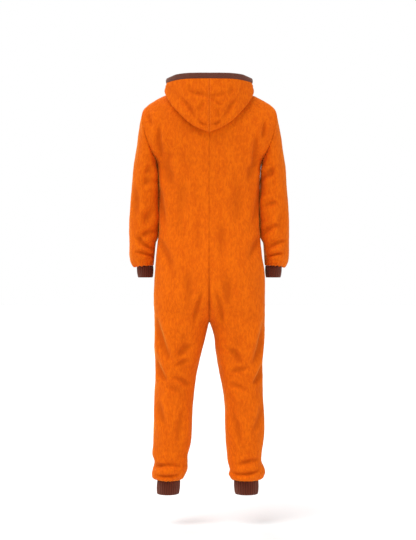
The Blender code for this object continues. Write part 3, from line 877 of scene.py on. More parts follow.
class NodeBench:
    """A short way to add and join shader or geometry nodes in one tree."""

    def __init__(self, tree: bpy.types.NodeTree) -> None:
        """Keeps the tree and empties it."""
        self.tree = tree
        tree.nodes.clear()

    def add(self, kind: str, settings: dict | None = None,
            inputs: dict | None = None) -> bpy.types.Node:
        """Adds a node.

        Args:
            kind: The node's type name.
            settings: Its properties.
            inputs: Sockets by name or number: a value, or another node's output.

        Returns:
            The node.
        """
        node = self.tree.nodes.new(kind)
        for name, value in (settings or {}).items():
            setattr(node, name, value)
        for name, value in (inputs or {}).items():
            if isinstance(value, bpy.types.NodeSocket):
                self.tree.links.new(value, node.inputs[name])
            else:
                node.inputs[name].default_value = value
        return node

    def math(self, operation: str, first: object, second: object = 0.0,
             third: object = 0.0) -> bpy.types.NodeSocket:
        """Adds a maths node and returns its output."""
        node = self.add("ShaderNodeMath", {"operation": operation},
                        {0: first, 1: second, 2: third})
        return node.outputs[0]

    def mix(self, share: object, first: object, second: object,
            blend: str = "MIX") -> bpy.types.NodeSocket:
        """Adds a colour mix and returns its output."""
        node = self.add("ShaderNodeMix", {"data_type": "RGBA", "blend_type": blend},
                        {0: share, 6: first, 7: second})
        return node.outputs[2]

    def noise(self, where: object, noise: Noise, output: str = "Fac") -> bpy.types.NodeSocket:
        """Adds a noise texture and returns its value, or its colour."""
        node = self.add("ShaderNodeTexNoise", {"noise_dimensions": "3D"},
                        {"Vector": where, "Scale": noise.scale, "Detail": noise.detail,
                         "Roughness": noise.roughness})
        return node.outputs[output]

    def place(self) -> bpy.types.NodeSocket:
        """Adds texture coordinates and returns the place on the object."""
        return self.add("ShaderNodeTexCoord").outputs["Object"]

    def mask(self, name: str) -> bpy.types.NodeSocket:
        """Adds an attribute of the mesh and returns its value."""
        return self.add("ShaderNodeAttribute", {"attribute_name": name}).outputs["Fac"]

    def shared(self, name: str, make: Callable[[], bpy.types.NodeTree],
               inputs: dict | None = None) -> bpy.types.Node:
        """Adds the shared node group of this name, made on first use."""
        tree = bpy.data.node_groups.get(name) or make()
        return self.add("ShaderNodeGroup", {"node_tree": tree}, inputs)

    def bump(self, height: object, strength: float, distance: float) -> bpy.types.NodeSocket:
        """Adds a bump and returns the bent normal."""
        return self.add("ShaderNodeBump", None, {"Strength": strength, "Distance": distance,
                                                 "Height": height}).outputs[0]

    def ramp(self, value: object, low: float, high: float) -> bpy.types.NodeSocket:
        """Adds a smooth step from low to high and returns its output."""
        node = self.add("ShaderNodeMapRange", {"interpolation_type": "SMOOTHSTEP"},
                        {"Value": value, "From Min": low, "From Max": high})
        return node.outputs["Result"]


@dataclass(frozen=True)
class Nap:
    """The fleece pile: clumps in wider patches, with finer tufts and fibres."""

    bend: Noise = Noise(70.0, 2.0)
    bend_reach: float = 0.010
    clumps: Noise = Noise(150.0, 3.0, 0.62)
    patches: Noise = Noise(30.0, 2.0)
    tufts: Noise = Noise(420.0, 4.0, 0.7)
    fibres: Noise = Noise(1500.0, 2.0)
    patch_share: float = 0.26
    tuft_share: float = 0.4
    fibre_share: float = 0.15
    mottle_range: tuple[float, float] = (0.36, 0.66)
    tuft_range: tuple[float, float] = (0.35, 0.68)

    def make(self) -> bpy.types.NodeTree:
        """Makes the shared group of the pile: its mottle and height over the cloth."""
        tree = bpy.data.node_groups.new("fleece_nap", "ShaderNodeTree")
        tree.interface.new_socket("Stretch", in_out="INPUT", socket_type="NodeSocketFloat")
        for name in ("Mottle", "Tufts", "Height"):
            tree.interface.new_socket(name, in_out="OUTPUT", socket_type="NodeSocketFloat")
        bench = NodeBench(tree)
        stretch = bench.add("NodeGroupInput").outputs["Stretch"]
        place = bench.place()
        scale = bench.add("ShaderNodeCombineXYZ", None,
                          {"X": 1.0, "Y": 1.0, "Z": stretch}).outputs[0]
        lying = bench.add("ShaderNodeVectorMath", {"operation": "MULTIPLY"},
                          {0: place, 1: scale}).outputs[0]
        bend = bench.noise(lying, self.bend, "Color")
        moved = bench.add("ShaderNodeVectorMath", {"operation": "MULTIPLY_ADD"},
                          {0: bend, 1: (self.bend_reach,) * 3, 2: lying}).outputs[0]
        clumps = bench.noise(moved, self.clumps)
        patches = bench.noise(lying, self.patches)
        tufts = bench.noise(moved, self.tufts)
        fibres = bench.noise(place, self.fibres)
        patches = bench.math("MULTIPLY", patches, self.patch_share)
        mottle = bench.math("MULTIPLY_ADD", clumps, 1 - self.patch_share, patches)
        height = bench.math("MULTIPLY_ADD", clumps, 1 - self.tuft_share - self.fibre_share,
                            bench.math("MULTIPLY", tufts, self.tuft_share))
        height = bench.math("MULTIPLY_ADD", fibres, self.fibre_share, height)
        bench.add("NodeGroupOutput", None,
                  {"Mottle": bench.ramp(mottle, *self.mottle_range),
                   "Tufts": bench.ramp(tufts, *self.tuft_range), "Height": height})
        return tree


@dataclass(frozen=True)
class Loops:
    """The knitted loops along an edge finish, with some fuzz between them."""

    scale: float = 160.0
    distortion: float = 2.0
    detail: float = 2.0
    detail_scale: float = 3.0
    fuzz: Noise = Noise(900.0, 3.0, 0.7)
    fuzz_share: float = 0.5

    def make(self) -> bpy.types.NodeTree:
        """Makes the shared group of the loops: their height over the knit."""
        tree = bpy.data.node_groups.new("knit_loops", "ShaderNodeTree")
        tree.interface.new_socket("Height", in_out="OUTPUT", socket_type="NodeSocketFloat")
        bench = NodeBench(tree)
        place = bench.place()
        loops = bench.add("ShaderNodeTexWave", {"wave_type": "BANDS", "bands_direction": "Z"},
                          {"Vector": place, "Scale": self.scale, "Distortion": self.distortion,
                           "Detail": self.detail, "Detail Scale": self.detail_scale})
        fuzz = bench.math("MULTIPLY", bench.noise(place, self.fuzz), self.fuzz_share)
        height = bench.math("MULTIPLY_ADD", loops.outputs["Fac"], 1 - self.fuzz_share, fuzz)
        bench.add("NodeGroupOutput", None, {"Height": height})
        return tree


@dataclass(frozen=True)
class Finish:
    """What every finish has: a name, a main colour and a roughness."""

    name: str
    colour: Colour
    roughness: float

    def start(self) -> tuple[bpy.types.Material, NodeBench]:
        """Makes the material and returns it with its empty node tree."""
        made = bpy.data.materials.new(self.name)
        made.use_nodes = True
        made.diffuse_color = opaque(self.colour)
        return made, NodeBench(made.node_tree)

    def close(self, bench: NodeBench, inputs: dict | None = None) -> None:
        """Adds the Principled shader with these inputs, and the output."""
        shader = bench.add("ShaderNodeBsdfPrincipled", None,
                           {"Base Color": opaque(self.colour), "Roughness": self.roughness,
                            **(inputs or {})})
        bench.add("ShaderNodeOutputMaterial", None, {"Surface": shader.outputs[0]})

    def make(self) -> bpy.types.Material:
        """Makes a plain material of this finish."""
        made, bench = self.start()
        self.close(bench)
        return made


@dataclass(frozen=True)
class ClothFinish(Finish):
    """What fleece and knit share: a bump in metres and a soft sheen."""

    bump: float = 0.0018
    bump_strength: float = 0.75
    sheen: float = 0.5
    sheen_roughness: float = 0.3
    sheen_tint: Colour = (1.0, 0.55, 0.08)
    specular: float = 0.1

    def close_cloth(self, bench: NodeBench, base: object, height: object) -> None:
        """Adds the cloth's shader.

        Args:
            bench: The material's nodes.
            base: The colour over the cloth.
            height: The height over the cloth.
        """
        self.close(bench, {"Base Color": base,
                           "Normal": bench.bump(height, self.bump_strength, self.bump),
                           "Sheen Weight": self.sheen, "Sheen Roughness": self.sheen_roughness,
                           "Sheen Tint": opaque(self.sheen_tint),
                           "Specular IOR Level": self.specular})


@dataclass(frozen=True)
class FleeceFinish(ClothFinish):
    """Brushed fleece: a mottled pile with a soft sheen, with painted shade in its folds and along
    its seams.
    """

    nap: Nap = Nap()
    # The darker end of the pile's mottle; darkened further, it is also the painted shade in folds
    # and seams.
    shade: Colour = (0.62, 0.084, 0.0008)
    light: Colour = (0.86, 0.19, 0.004)
    light_share: float = 0.32
    stretch: float = 0.4
    # How dark the painted shade in folds and seams is, and how strongly each mixes in.
    fold_shade_tone: float = 0.72
    fold_shade_share: float = 0.52
    seam_shade_tone: float = 0.5
    seam_shade_share: float = 0.55

    def make(self) -> bpy.types.Material:
        """Makes the fleece material."""
        made, bench = self.start()
        nap = bench.shared("fleece_nap", self.nap.make, {"Stretch": self.stretch})
        base = bench.mix(nap.outputs["Mottle"], opaque(self.shade), opaque(self.colour))
        tips = bench.math("MULTIPLY", nap.outputs["Tufts"], self.light_share)
        base = bench.mix(tips, base, opaque(self.light))
        # Painted shade: the fold and seam masks mix the colour towards a darkened shade colour.
        for mask, tone, share in (("fold", self.fold_shade_tone, self.fold_shade_share),
                                  ("seam", self.seam_shade_tone, self.seam_shade_share)):
            depth = bench.math("MULTIPLY", bench.mask(mask), share)
            base = bench.mix(depth, base, opaque(self.shade, tone))
        self.close_cloth(bench, base, nap.outputs["Height"])
        return made


@dataclass(frozen=True)
class KnitFinish(ClothFinish):
    """Ribbed knit: painted shade between the ribs and a painted highlight on the raised loops,
    with knitted loops and a slight fuzz.
    """

    bump: float = 0.0009
    bump_strength: float = 0.7
    sheen: float = 0.25
    sheen_roughness: float = 0.5
    sheen_tint: Colour = (1.0, 0.75, 0.6)
    specular: float = 0.2
    loops: Loops = Loops()
    # The painted shade colour between the ribs, and the rib heights over which it fades.
    groove: Colour = (0.03, 0.008, 0.005)
    groove_shade_range: tuple[float, float] = (0.05, 0.75)
    # How much lighter the painted highlight on the raised loops is, and how strongly it mixes in.
    loop_highlight_tone: float = 1.45
    loop_highlight_share: float = 0.5

    def make(self) -> bpy.types.Material:
        """Makes the knit material."""
        made, bench = self.start()
        height = bench.shared("knit_loops", self.loops.make).outputs["Height"]
        # Painted shade: the rib mask mixes from the dark groove colour in the valleys to the
        # knit's colour on the ribs.
        raised = bench.ramp(bench.mask("rib"), *self.groove_shade_range)
        base = bench.mix(raised, opaque(self.groove), opaque(self.colour))
        # Painted highlight: the colour grows lighter where the loops and fuzz stand highest.
        loop_highlight = bench.math("MULTIPLY", height, self.loop_highlight_share)
        base = bench.mix(loop_highlight, base, opaque(self.colour, self.loop_highlight_tone))
        self.close_cloth(bench, base, height)
        return made


@dataclass(frozen=True)
class WovenFinish(Finish):
    """Woven tape: a fine diagonal weave in the height only."""

    bump: float = 0.0004
    bump_strength: float = 0.6
    weave: float = 300.0

    def make(self) -> bpy.types.Material:
        """Makes the tape material."""
        made, bench = self.start()
        weave = bench.add("ShaderNodeTexWave", {"bands_direction": "DIAGONAL"},
                          {"Vector": bench.place(), "Scale": self.weave}).outputs["Fac"]
        self.close(bench, {"Normal": bench.bump(weave, self.bump_strength, self.bump)})
        return made


@dataclass(frozen=True)
class MetalFinish(Finish):
    """Dark plated metal with small wear in its roughness."""

    wear: Noise = Noise(400.0, 3.0)
    wear_depth: float = 0.25
    polish: float = 0.1

    def make(self) -> bpy.types.Material:
        """Makes the metal material."""
        made, bench = self.start()
        wear = bench.math("MULTIPLY_ADD", bench.noise(bench.place(), self.wear),
                          self.wear_depth, self.roughness - self.polish)
        self.close(bench, {"Metallic": 1.0, "Roughness": wear})
        return made


@dataclass
class Finishes:
    """Every material of the garment, made once."""

    fleece: bpy.types.Material = field(default_factory=lambda: FleeceFinish(
        "orange_fleece", (0.79, 0.137, 0.0015), 0.95).make())
    knit: bpy.types.Material = field(default_factory=lambda: KnitFinish(
        "brown_rib_knit", (0.112, 0.020, 0.008), 0.92).make())
    # Each knit's groove colour is the painted shade between its ribs.
    band: bpy.types.Material = field(default_factory=lambda: KnitFinish(
        "brown_edge_band", (0.105, 0.030, 0.018), 0.92, groove=(0.05, 0.014, 0.009)).make())
    thread: bpy.types.Material = field(default_factory=lambda: Finish(
        "orange_thread", (0.84, 0.19, 0.01), 0.8).make())
    tape: bpy.types.Material = field(default_factory=lambda: WovenFinish(
        "brown_zip_tape", (0.09, 0.025, 0.015), 0.85).make())
    teeth: bpy.types.Material = field(default_factory=lambda: Finish(
        "brown_zip_teeth", (0.06, 0.018, 0.012), 0.38).make())
    metal: bpy.types.Material = field(default_factory=lambda: MetalFinish(
        "dark_zip_metal", (0.22, 0.19, 0.17), 0.34).make())


@dataclass
class BodyPanels:
    """The four body panels as one cloth with seams between them."""

    pattern: BodyPattern
    drape: Drape
    finishes: Finishes
    puff: ArmholePuff = ArmholePuff(0.8, 4.0)
    groove: float = 0.9
    groove_width: float = 3.5
    centre_share: float = 0.4
    armhole_calm: float = 32.0
    neck_calm: float = 12.0
    hem_calm: float = 12.0
    seam_calm: float = 10.0
    hem_waves: dict[Side, tuple[Wave, ...]] = field(default_factory=lambda: {
        Side.LEFT: (Wave(19, 1.0, 2.1, 3, 1, 1), Wave(31, 0.6, 1.7, 2)),
        Side.RIGHT: (Wave(19, 1.0, 2.1, 3, 1, 0), Wave(31, 0.6, 1.7, 2)),
    })
    hem_middle: dict[Side, float] = field(
        default_factory=lambda: {Side.LEFT: 146.0, Side.RIGHT: 133.0})
    hem_seam: float = 7.0
    hem_sewn: float = 7.0
    gathers: float = 1.9
    gather_reach: float = 26.0
    flat: tuple[float, float] = (0.30, 1.41)
    seat_from: float = 500.0
    seat_full: float = 780.0
    seat_dark: float = 720.0
    fly_end: float = 700.0
    seat_depth: float = 5.0
    seat_width: float = 8.0
    side_shade: float = 0.4
    side_shade_width: float = 2.4
    centre_shade: float = 0.12
    centre_shade_width: float = 2.0
    armhole_shade: float = 0.2
    armhole_shade_width: float = 3.0
    armhole_dark: float = 200.0
    grids: dict[tuple[Side, Face], np.ndarray] = field(default_factory=dict)
    linings: dict[tuple[Side, Face], np.ndarray] = field(default_factory=dict)

    def armhole_inward(self, turns: np.ndarray) -> np.ndarray:
        """Directions from the armhole seam towards the middle of the armhole."""
        ring = self.pattern.sleeve[0]
        points = self.pattern.ring_points(ring._replace(bow=0), turns)
        middle = self.pattern.ring_points(ring._replace(bow=0), np.array([0, 180])).mean(axis=0)
        return unit(middle - points)

    def armhole_distance(self, grid: np.ndarray) -> np.ndarray:
        """Distance of each point of a grid from the armhole seam."""
        ring = self.pattern.ring_points(self.pattern.sleeve[0], np.arange(0, 360, 3))
        return nearest_distance(grid, ring)

    def hem_gathers(self, grid: np.ndarray, side: Side) -> np.ndarray:
        """Uneven gathers round the leg above its cuff, deepest beside it."""
        turn = np.arctan2(grid[..., 1] - self.hem_seam, grid[..., 0] - self.hem_middle[side])
        reach = edge_distance(grid, 0, True)
        pull = np.exp(-reach / self.gather_reach) * smooth_step(0, self.hem_sewn, reach)
        return self.gathers * gathered(turn, self.hem_waves[side]) * pull

    def seam_dips_and_shade(self, grid: np.ndarray, armhole: np.ndarray,
                   face: Face) -> tuple[np.ndarray, np.ndarray]:
        """How far the cloth dips beside its seams, and a mask of painted shade along them.

        Args:
            grid: The panel's points.
            armhole: Their distances from the armhole seam.
            face: The face of the panel.

        Returns:
            The dip and the painted shade mask.
        """
        down = -grid[..., 2]
        rows = np.arange(len(grid))[:, None]
        sides = np.where(rows >= self.pattern.armhole_rows, edge_distance(grid, 1, True), FAR)
        shoulder = edge_distance(grid, 0, False)
        centre = np.where(rows >= self.pattern.neck_rows, edge_distance(grid, 1, False), FAR)
        dip = -self.groove * near(sides, self.groove_width)
        dip -= self.groove * near(shoulder, self.groove_width)
        dip -= self.groove * self.centre_share * near(centre, self.groove_width)
        fork = (down > self.seat_from) & (down < self.pattern.crotch_down)
        deep = self.seat_depth * smooth_step(self.seat_from, self.seat_full, down) * fork
        if face is Face.FRONT:
            deep = deep * smooth_step(self.pattern.zip_bottom, self.fly_end, down)
        dip -= deep * near(centre, self.seat_width)
        # Painted shade along the seams: faint at the sides and shoulder, deeper down the centre
        # towards the crotch and round the armhole towards the armpit.
        low = smooth_step(self.seat_from, self.seat_dark, down)
        tight = smooth_step(ARMHOLE_TOP, self.armhole_dark, down)
        mask = self.side_shade * near(np.minimum(sides, shoulder), self.side_shade_width)
        middle = self.centre_shade + (1 - self.centre_shade) * low
        mask = np.maximum(mask, middle * near(centre, self.centre_shade_width + low))
        round_arm = self.armhole_shade + (1 - self.armhole_shade) * tight
        mask = np.maximum(mask, round_arm * near(armhole, self.armhole_shade_width))
        return dip, mask

    def build_panel(self, side: Side, face: Face) -> None:
        """Builds one panel and keeps its grids.

        Args:
            side: The wearer's side.
            face: Back or front.
        """
        grid = self.pattern.panel(side, face)
        centre = slice(self.pattern.neck_rows, self.pattern.crotch_row())
        grid[centre, 0, 0] = 0
        normal = self.pattern.outward(grid)
        armhole = self.armhole_distance(grid)
        hem = edge_distance(grid, 0, True)
        calm = smooth_step(0, self.armhole_calm, armhole) * smooth_step(0, self.hem_calm, hem)
        calm = calm * smooth_step(0, self.neck_calm, self.neck_distance(grid))
        move = self.drape.laid(mirrored(grid, side), mirrored(normal, side), calm)
        # The fold mask is painted shade, darker where the cloth sinks into a crease.
        fold = self.drape.fold_shade_mask(move)
        dip, seam = self.seam_dips_and_shade(grid, armhole, face)
        seam_calm = smooth_step(0, self.seam_calm, hem) * smooth_step(0, self.seam_calm, armhole)
        move = move + dip * seam_calm + self.hem_gathers(grid, side)
        move = move + self.puff.at(armhole, -grid[..., 2])
        outer = grid + normal * move[..., None]
        inner = outer - FLEECE * normal
        turns = face.value * 180 * np.linspace(0, 1, self.pattern.armhole_rows + 1)
        top = slice(0, self.pattern.armhole_rows + 1)
        inner[top, -1] = outer[top, -1] + FLEECE * self.armhole_inward(turns)
        for layer in (outer, inner):
            layer[centre, :, 0] = np.maximum(layer[centre, :, 0], 0)
            layer[centre, 0, 0] = 0
            if face is Face.FRONT:
                layer[centre, 0, 0] = self.pattern.zip_edge(-layer[centre, 0, 2])
                layer[centre, 1:, 0] = np.maximum(layer[centre, 1:, 0], layer[centre, :1, 0])
        self.grids[side, face] = outer
        self.linings[side, face] = inner
        name = f"{face.name.lower()}_{side.value}"
        piece = add_wall(f"{name}_cloth", mirrored(outer, side), mirrored(inner, side),
                         self.finishes.fleece, masks={"fold": fold, "seam": seam})
        settle(piece, name)

    def neck_distance(self, grid: np.ndarray) -> np.ndarray:
        """Distance of each point of a grid from the neckline."""
        return nearest_distance(grid, grid[:self.pattern.neck_rows + 1, 0])

    def build(self) -> None:
        """Builds the four panels."""
        for side in Side:
            for face in Face:
                self.build_panel(side, face)


@dataclass
class Sleeves:
    """Both sleeves, bloused and gathered where the cuffs hold them."""

    pattern: BodyPattern
    drape: Drape
    finishes: Finishes
    body: BodyPanels
    rows: int = 150
    crowding: float = 0.55
    puff: ArmholePuff = ArmholePuff(1.0, 3.6)
    armhole_calm: float = 30.0
    hem_calm: float = 14.0
    hem_sewn: float = 6.0
    hem_waves: dict[Side, tuple[Wave, ...]] = field(default_factory=lambda: {
        Side.LEFT: (Wave(15, 1.0, 2.0, 2, 0.4), Wave(26, 0.6, 1.6, 3, 0.4)),
        Side.RIGHT: (Wave(15, 1.0, 2.0, 2, 1.9), Wave(26, 0.6, 1.6, 3, 1.9)),
    })
    gathers: float = 2.4
    gather_reach: float = 24.0
    least_gap: float = 0.9
    close_from: tuple[float, float] = (212.0, 244.0)
    close_to: tuple[float, float] = (490.0, 530.0)
    inner_side: tuple[float, float] = (0.25, 0.85)
    closing: int = 3
    flat: tuple[float, float] = (0.56, 0.60)

    def close_to_body(self, outer: np.ndarray, normal: np.ndarray, down: np.ndarray,
                      side: Side) -> None:
        """Moves the inner side of a sleeve, in place, to a hair's breadth from the body.

        Args:
            outer: The sleeve's outer grid, on the left.
            normal: Its outward normals.
            down: How far down its points lay before the cloth was creased.
            side: The side whose body panel it lies beside.
        """
        touching = smooth_step(*self.close_from, down) * (1 - smooth_step(*self.close_to, down))
        beside = self.body.grids[side, Face.BACK][self.pattern.armhole_rows:, -1]
        for _ in range(self.closing):
            nearest = outer[np.arange(self.rows), outer[..., 0].argmin(axis=1)]
            gap = nearest[:, 0] - np.interp(-nearest[:, 2], -beside[:, 2], beside[:, 0])
            shift = np.maximum(gap - self.least_gap, 0)[:, None] * touching
            outer[..., 0] -= shift * smooth_step(*self.inner_side, -normal[..., 0])

    def build_sleeve(self, side: Side) -> None:
        """Builds one sleeve."""
        count = 2 * self.pattern.armhole_rows
        turns = np.arange(count) * 180 / self.pattern.armhole_rows
        rings = np.array([self.pattern.ring_points(ring, turns) for ring in self.pattern.sleeve])
        grid = resample(rings, crowded_ends(self.rows, self.crowding))
        normal = grid_normals(grid, closed=True)
        axis = grid.mean(axis=1, keepdims=True)
        if ((grid - axis) * normal).sum() < 0:
            normal = -normal
        start = edge_distance(grid, 0, False)
        end = edge_distance(grid, 0, True)
        calm = smooth_step(0, self.armhole_calm, start) * smooth_step(0, self.hem_calm, end)
        move = self.drape.laid(mirrored(grid, side), mirrored(normal, side), calm)
        # The fold mask is painted shade, darker where the cloth sinks into a crease.
        fold = self.drape.fold_shade_mask(move)
        pull = np.exp(-end / self.gather_reach) * smooth_step(0, self.hem_sewn, end)
        waves = gathered(np.radians(turns)[None, :], self.hem_waves[side])
        down = -grid[..., 2]
        move = move + self.gathers * waves * pull + self.puff.at(start, down)
        # Painted shade beside the armhole seam, deepening towards the armpit.
        shade = self.body.armhole_shade
        shade = shade + (1 - shade) * smooth_step(ARMHOLE_TOP, ARMHOLE_LOW, down)
        seam = shade * near(start, self.body.armhole_shade_width)
        outer = grid + normal * move[..., None]
        self.close_to_body(outer, normal, down, side)
        inner = outer - FLEECE * normal
        inner[0] = outer[0] + FLEECE * self.body.armhole_inward(turns)
        piece = add_wall(f"sleeve_{side.value}_cloth", mirrored(outer, side),
                         mirrored(inner, side), self.finishes.fleece, closed=True,
                         masks={"fold": fold, "seam": seam})
        settle(piece, f"sleeve_{side.value}")

    def build(self) -> None:
        """Builds both sleeves."""
        for side in Side:
            self.build_sleeve(side)


@dataclass
class Cuffs:
    """The four rib-knit cuffs."""

    finishes: Finishes
    wrist: Cuff = Cuff(262, 202.5, 610.3, 653, 258, 204.5, -25, 37, 26)
    ankle_left: Cuff = Cuff(186.5, 104.5, 1379.3, 1429, 188.5, 108.5, 7, 47, 32)
    ankle_right: Cuff = Cuff(176.5, 88.5, 1379.3, 1429, 175.5, 92, 7, 47, 32)
    rib_height: float = 1.4
    rib_fullness: float = 0.7
    wobble: float = 0.05
    wobble_turns: float = 1.5
    wobble_count: int = 2
    rounded_top: float = 0.07
    rounded_bottom: float = 0.09
    edge_round: float = 0.9
    rows: int = 30
    turns_per_rib: int = 8
    swell: float = 1.6

    def build_cuff(self, name: str, cuff: Cuff, side: Side) -> None:
        """Builds one cuff.

        Args:
            name: The node it stands for.
            cuff: Its sizes.
            side: The wearer's side.
        """
        count = cuff.ribs * self.turns_per_rib
        turn = np.arange(count) * 2 * np.pi / count
        share = np.linspace(0, 1, self.rows)[:, None]
        climb = 2 * np.pi * self.wobble_turns * share
        wobble = self.wobble * np.sin(climb + self.wobble_count * turn[None, :])
        rib = (0.5 + 0.5 * np.cos(cuff.ribs * turn[None, :] + wobble)) ** self.rib_fullness
        rounded = smooth_step(0, self.rounded_top, share)
        rounded = rounded * smooth_step(0, self.rounded_bottom, 1 - share)
        swell = self.swell * np.sin(np.pi * share) - self.edge_round * (1 - rounded)
        raised = (rib - 1) * self.rib_height
        outer_x = cuff.outer + (cuff.outer_end - cuff.outer) * share
        inner_x = cuff.inner + (cuff.inner_end - cuff.inner) * share
        layers = []
        for lift in (raised + swell, swell - RIB_KNIT + np.zeros_like(rib)):
            x = (outer_x + inner_x) / 2 + ((outer_x - inner_x) / 2 + lift) * np.cos(turn)
            y = cuff.middle + (cuff.depth + lift) * np.sin(turn)
            z = np.broadcast_to(-(cuff.top + (cuff.bottom - cuff.top) * share), x.shape)
            layers.append(mirrored(np.stack([x, y, z], axis=2), side))
        piece = add_wall(f"{name}_knit", layers[0], layers[1], self.finishes.knit, closed=True,
                         masks={"rib": np.broadcast_to(rib, layers[0].shape[:2])})
        settle(piece, name)

    def build(self) -> None:
        """Builds both wrist cuffs and both ankle cuffs."""
        for side in Side:
            self.build_cuff(f"wrist_cuff_{side.value}", self.wrist, side)
        self.build_cuff("ankle_cuff_left", self.ankle_left, Side.LEFT)
        self.build_cuff("ankle_cuff_right", self.ankle_right, Side.RIGHT)


@dataclass
class HoodPattern:
    """The cut of the hood as it lies: out from the neckline, down the back, and up to its rim."""

    pattern: BodyPattern
    table: list[HoodRow] = field(default_factory=lambda: [
        HoodRow(90, 0, 138, 0, 162, -42),
        HoodRow(75, 48, 121, 46, 159, -42),
        HoodRow(60, 86, 94, 88, 147, -42),
        HoodRow(45, 116, 62, 120, 124, -40),
        HoodRow(28, 140, 25, 147, 90, -37),
        HoodRow(8, 143, -3, 152, 46, -37),
        HoodRow(-14, 124, 2, 139, -2, -39),
        HoodRow(-38, 92, 16, 104, -54, -31),
        HoodRow(-64, 48, 30, 54, -92, -16),
        HoodRow(-90, 6, 34, 7, -108, -6),
    ])
    rows: int = 15
    clear: float = 10.0
    fold_radius: float = 9.0
    search_step: float = 0.1
    lifts: tuple[tuple[float, float], ...] = (
        (0, 0.5), (0.07, 15), (0.2, 19), (0.45, 14), (0.75, 11))
    upright_share: float = 0.4
    upright_lean: float = 0.15
    inside: tuple[float, float, float] = (60.0, 0.0, -300.0)
    outward_rise: float = 0.2
    first_back: float = 0.3
    first_out: float = 0.08
    last_below: float = 0.35
    last_out: float = 0.05
    upper_rows: int = 7

    def on_panel(self, grid: np.ndarray, row: float, col: float) -> tuple[np.ndarray, np.ndarray]:
        """A point of the panel between its rows and columns, and the outward normal there."""
        top, left = min(int(row), len(grid) - 2), min(int(col), grid.shape[1] - 2)
        v, u = row - top, col - left
        cell = grid[top:top + 2, left:left + 2]
        low = cell[0, 0] * (1 - u) + cell[0, 1] * u
        high = cell[1, 0] * (1 - u) + cell[1, 1] * u
        normal = unit(np.cross(cell[0, 1] - cell[0, 0], cell[1, 0] - cell[0, 0]))
        point = low * (1 - v) + high * v
        return point, normal if np.dot(point - self.inside, normal) > 0 else -normal

    def spot_at(self, grid: np.ndarray, x: float, down: float) -> tuple[float, float]:
        """The row and column of the panel point nearest to this width and height."""
        best = (math.inf, 0.0, 0.0)
        for row in np.arange(0, self.pattern.armhole_rows, self.search_step):
            for col in np.arange(0, self.pattern.columns, self.search_step):
                point = self.on_panel(grid, row, col)[0]
                miss = math.hypot(point[0] - x, point[2] + down)
                best = min(best, (miss, row, col))
        return best[1], best[2]

    def section(self, grids: dict[Face, np.ndarray], row: HoodRow) -> np.ndarray:
        """One section of the hood, from the neckline over the fold to the rim."""
        face = Face.BACK if row.turn >= 0 else Face.FRONT
        grid = grids[face]
        start = abs(row.turn) / 90 * self.pattern.neck_rows
        end_row, end_col = self.spot_at(grid, row.fold_x, row.fold_down)
        points = []
        for share, lift in (*self.lifts, (1, self.clear)):
            spot, normal = self.on_panel(grid, start + (end_row - start) * share, end_col * share)
            lean = min(share / self.upright_share, 1)
            rise = unit(np.array([0, 0, 1 - lean]) + normal * (self.upright_lean + lean))
            points.append(spot + rise * lift)
        fold, normal = self.on_panel(grid, end_row, end_col)
        rim = np.array([row.rim_x, row.rim_y, -row.rim_down], float)
        along = unit(points[-1] - points[-2])
        points.append(fold + normal * (self.clear + self.fold_radius) + along * self.fold_radius)
        lift_off = fold + normal * (self.clear + 2 * self.fold_radius)
        height = np.linalg.norm(rim - lift_off)
        out = unit(normal * np.array([1, 1, self.outward_rise])) * height
        first = lift_off - along * height * self.first_back + out * self.first_out
        second = rim - np.array([0, 0, self.last_below * height]) + out * self.last_out
        share = np.linspace(0, 1, self.upper_rows)
        points.extend(bezier([lift_off, first, second, rim], share))
        return np.array(points)

    def grid(self) -> np.ndarray:
        """Sections of the left half of the hood, from the centre back to the centre front."""
        grids = {face: self.pattern.panel(Side.LEFT, face) for face in Face}
        table = [row._replace(turn=-row.turn) for row in self.table]
        sections = []
        for turn in np.linspace(90, -90, self.rows):
            values = [column(table, "turn", name, -turn) for name in HoodRow._fields[1:]]
            sections.append(self.section(grids, HoodRow(turn, *values)))
        return np.array(sections)


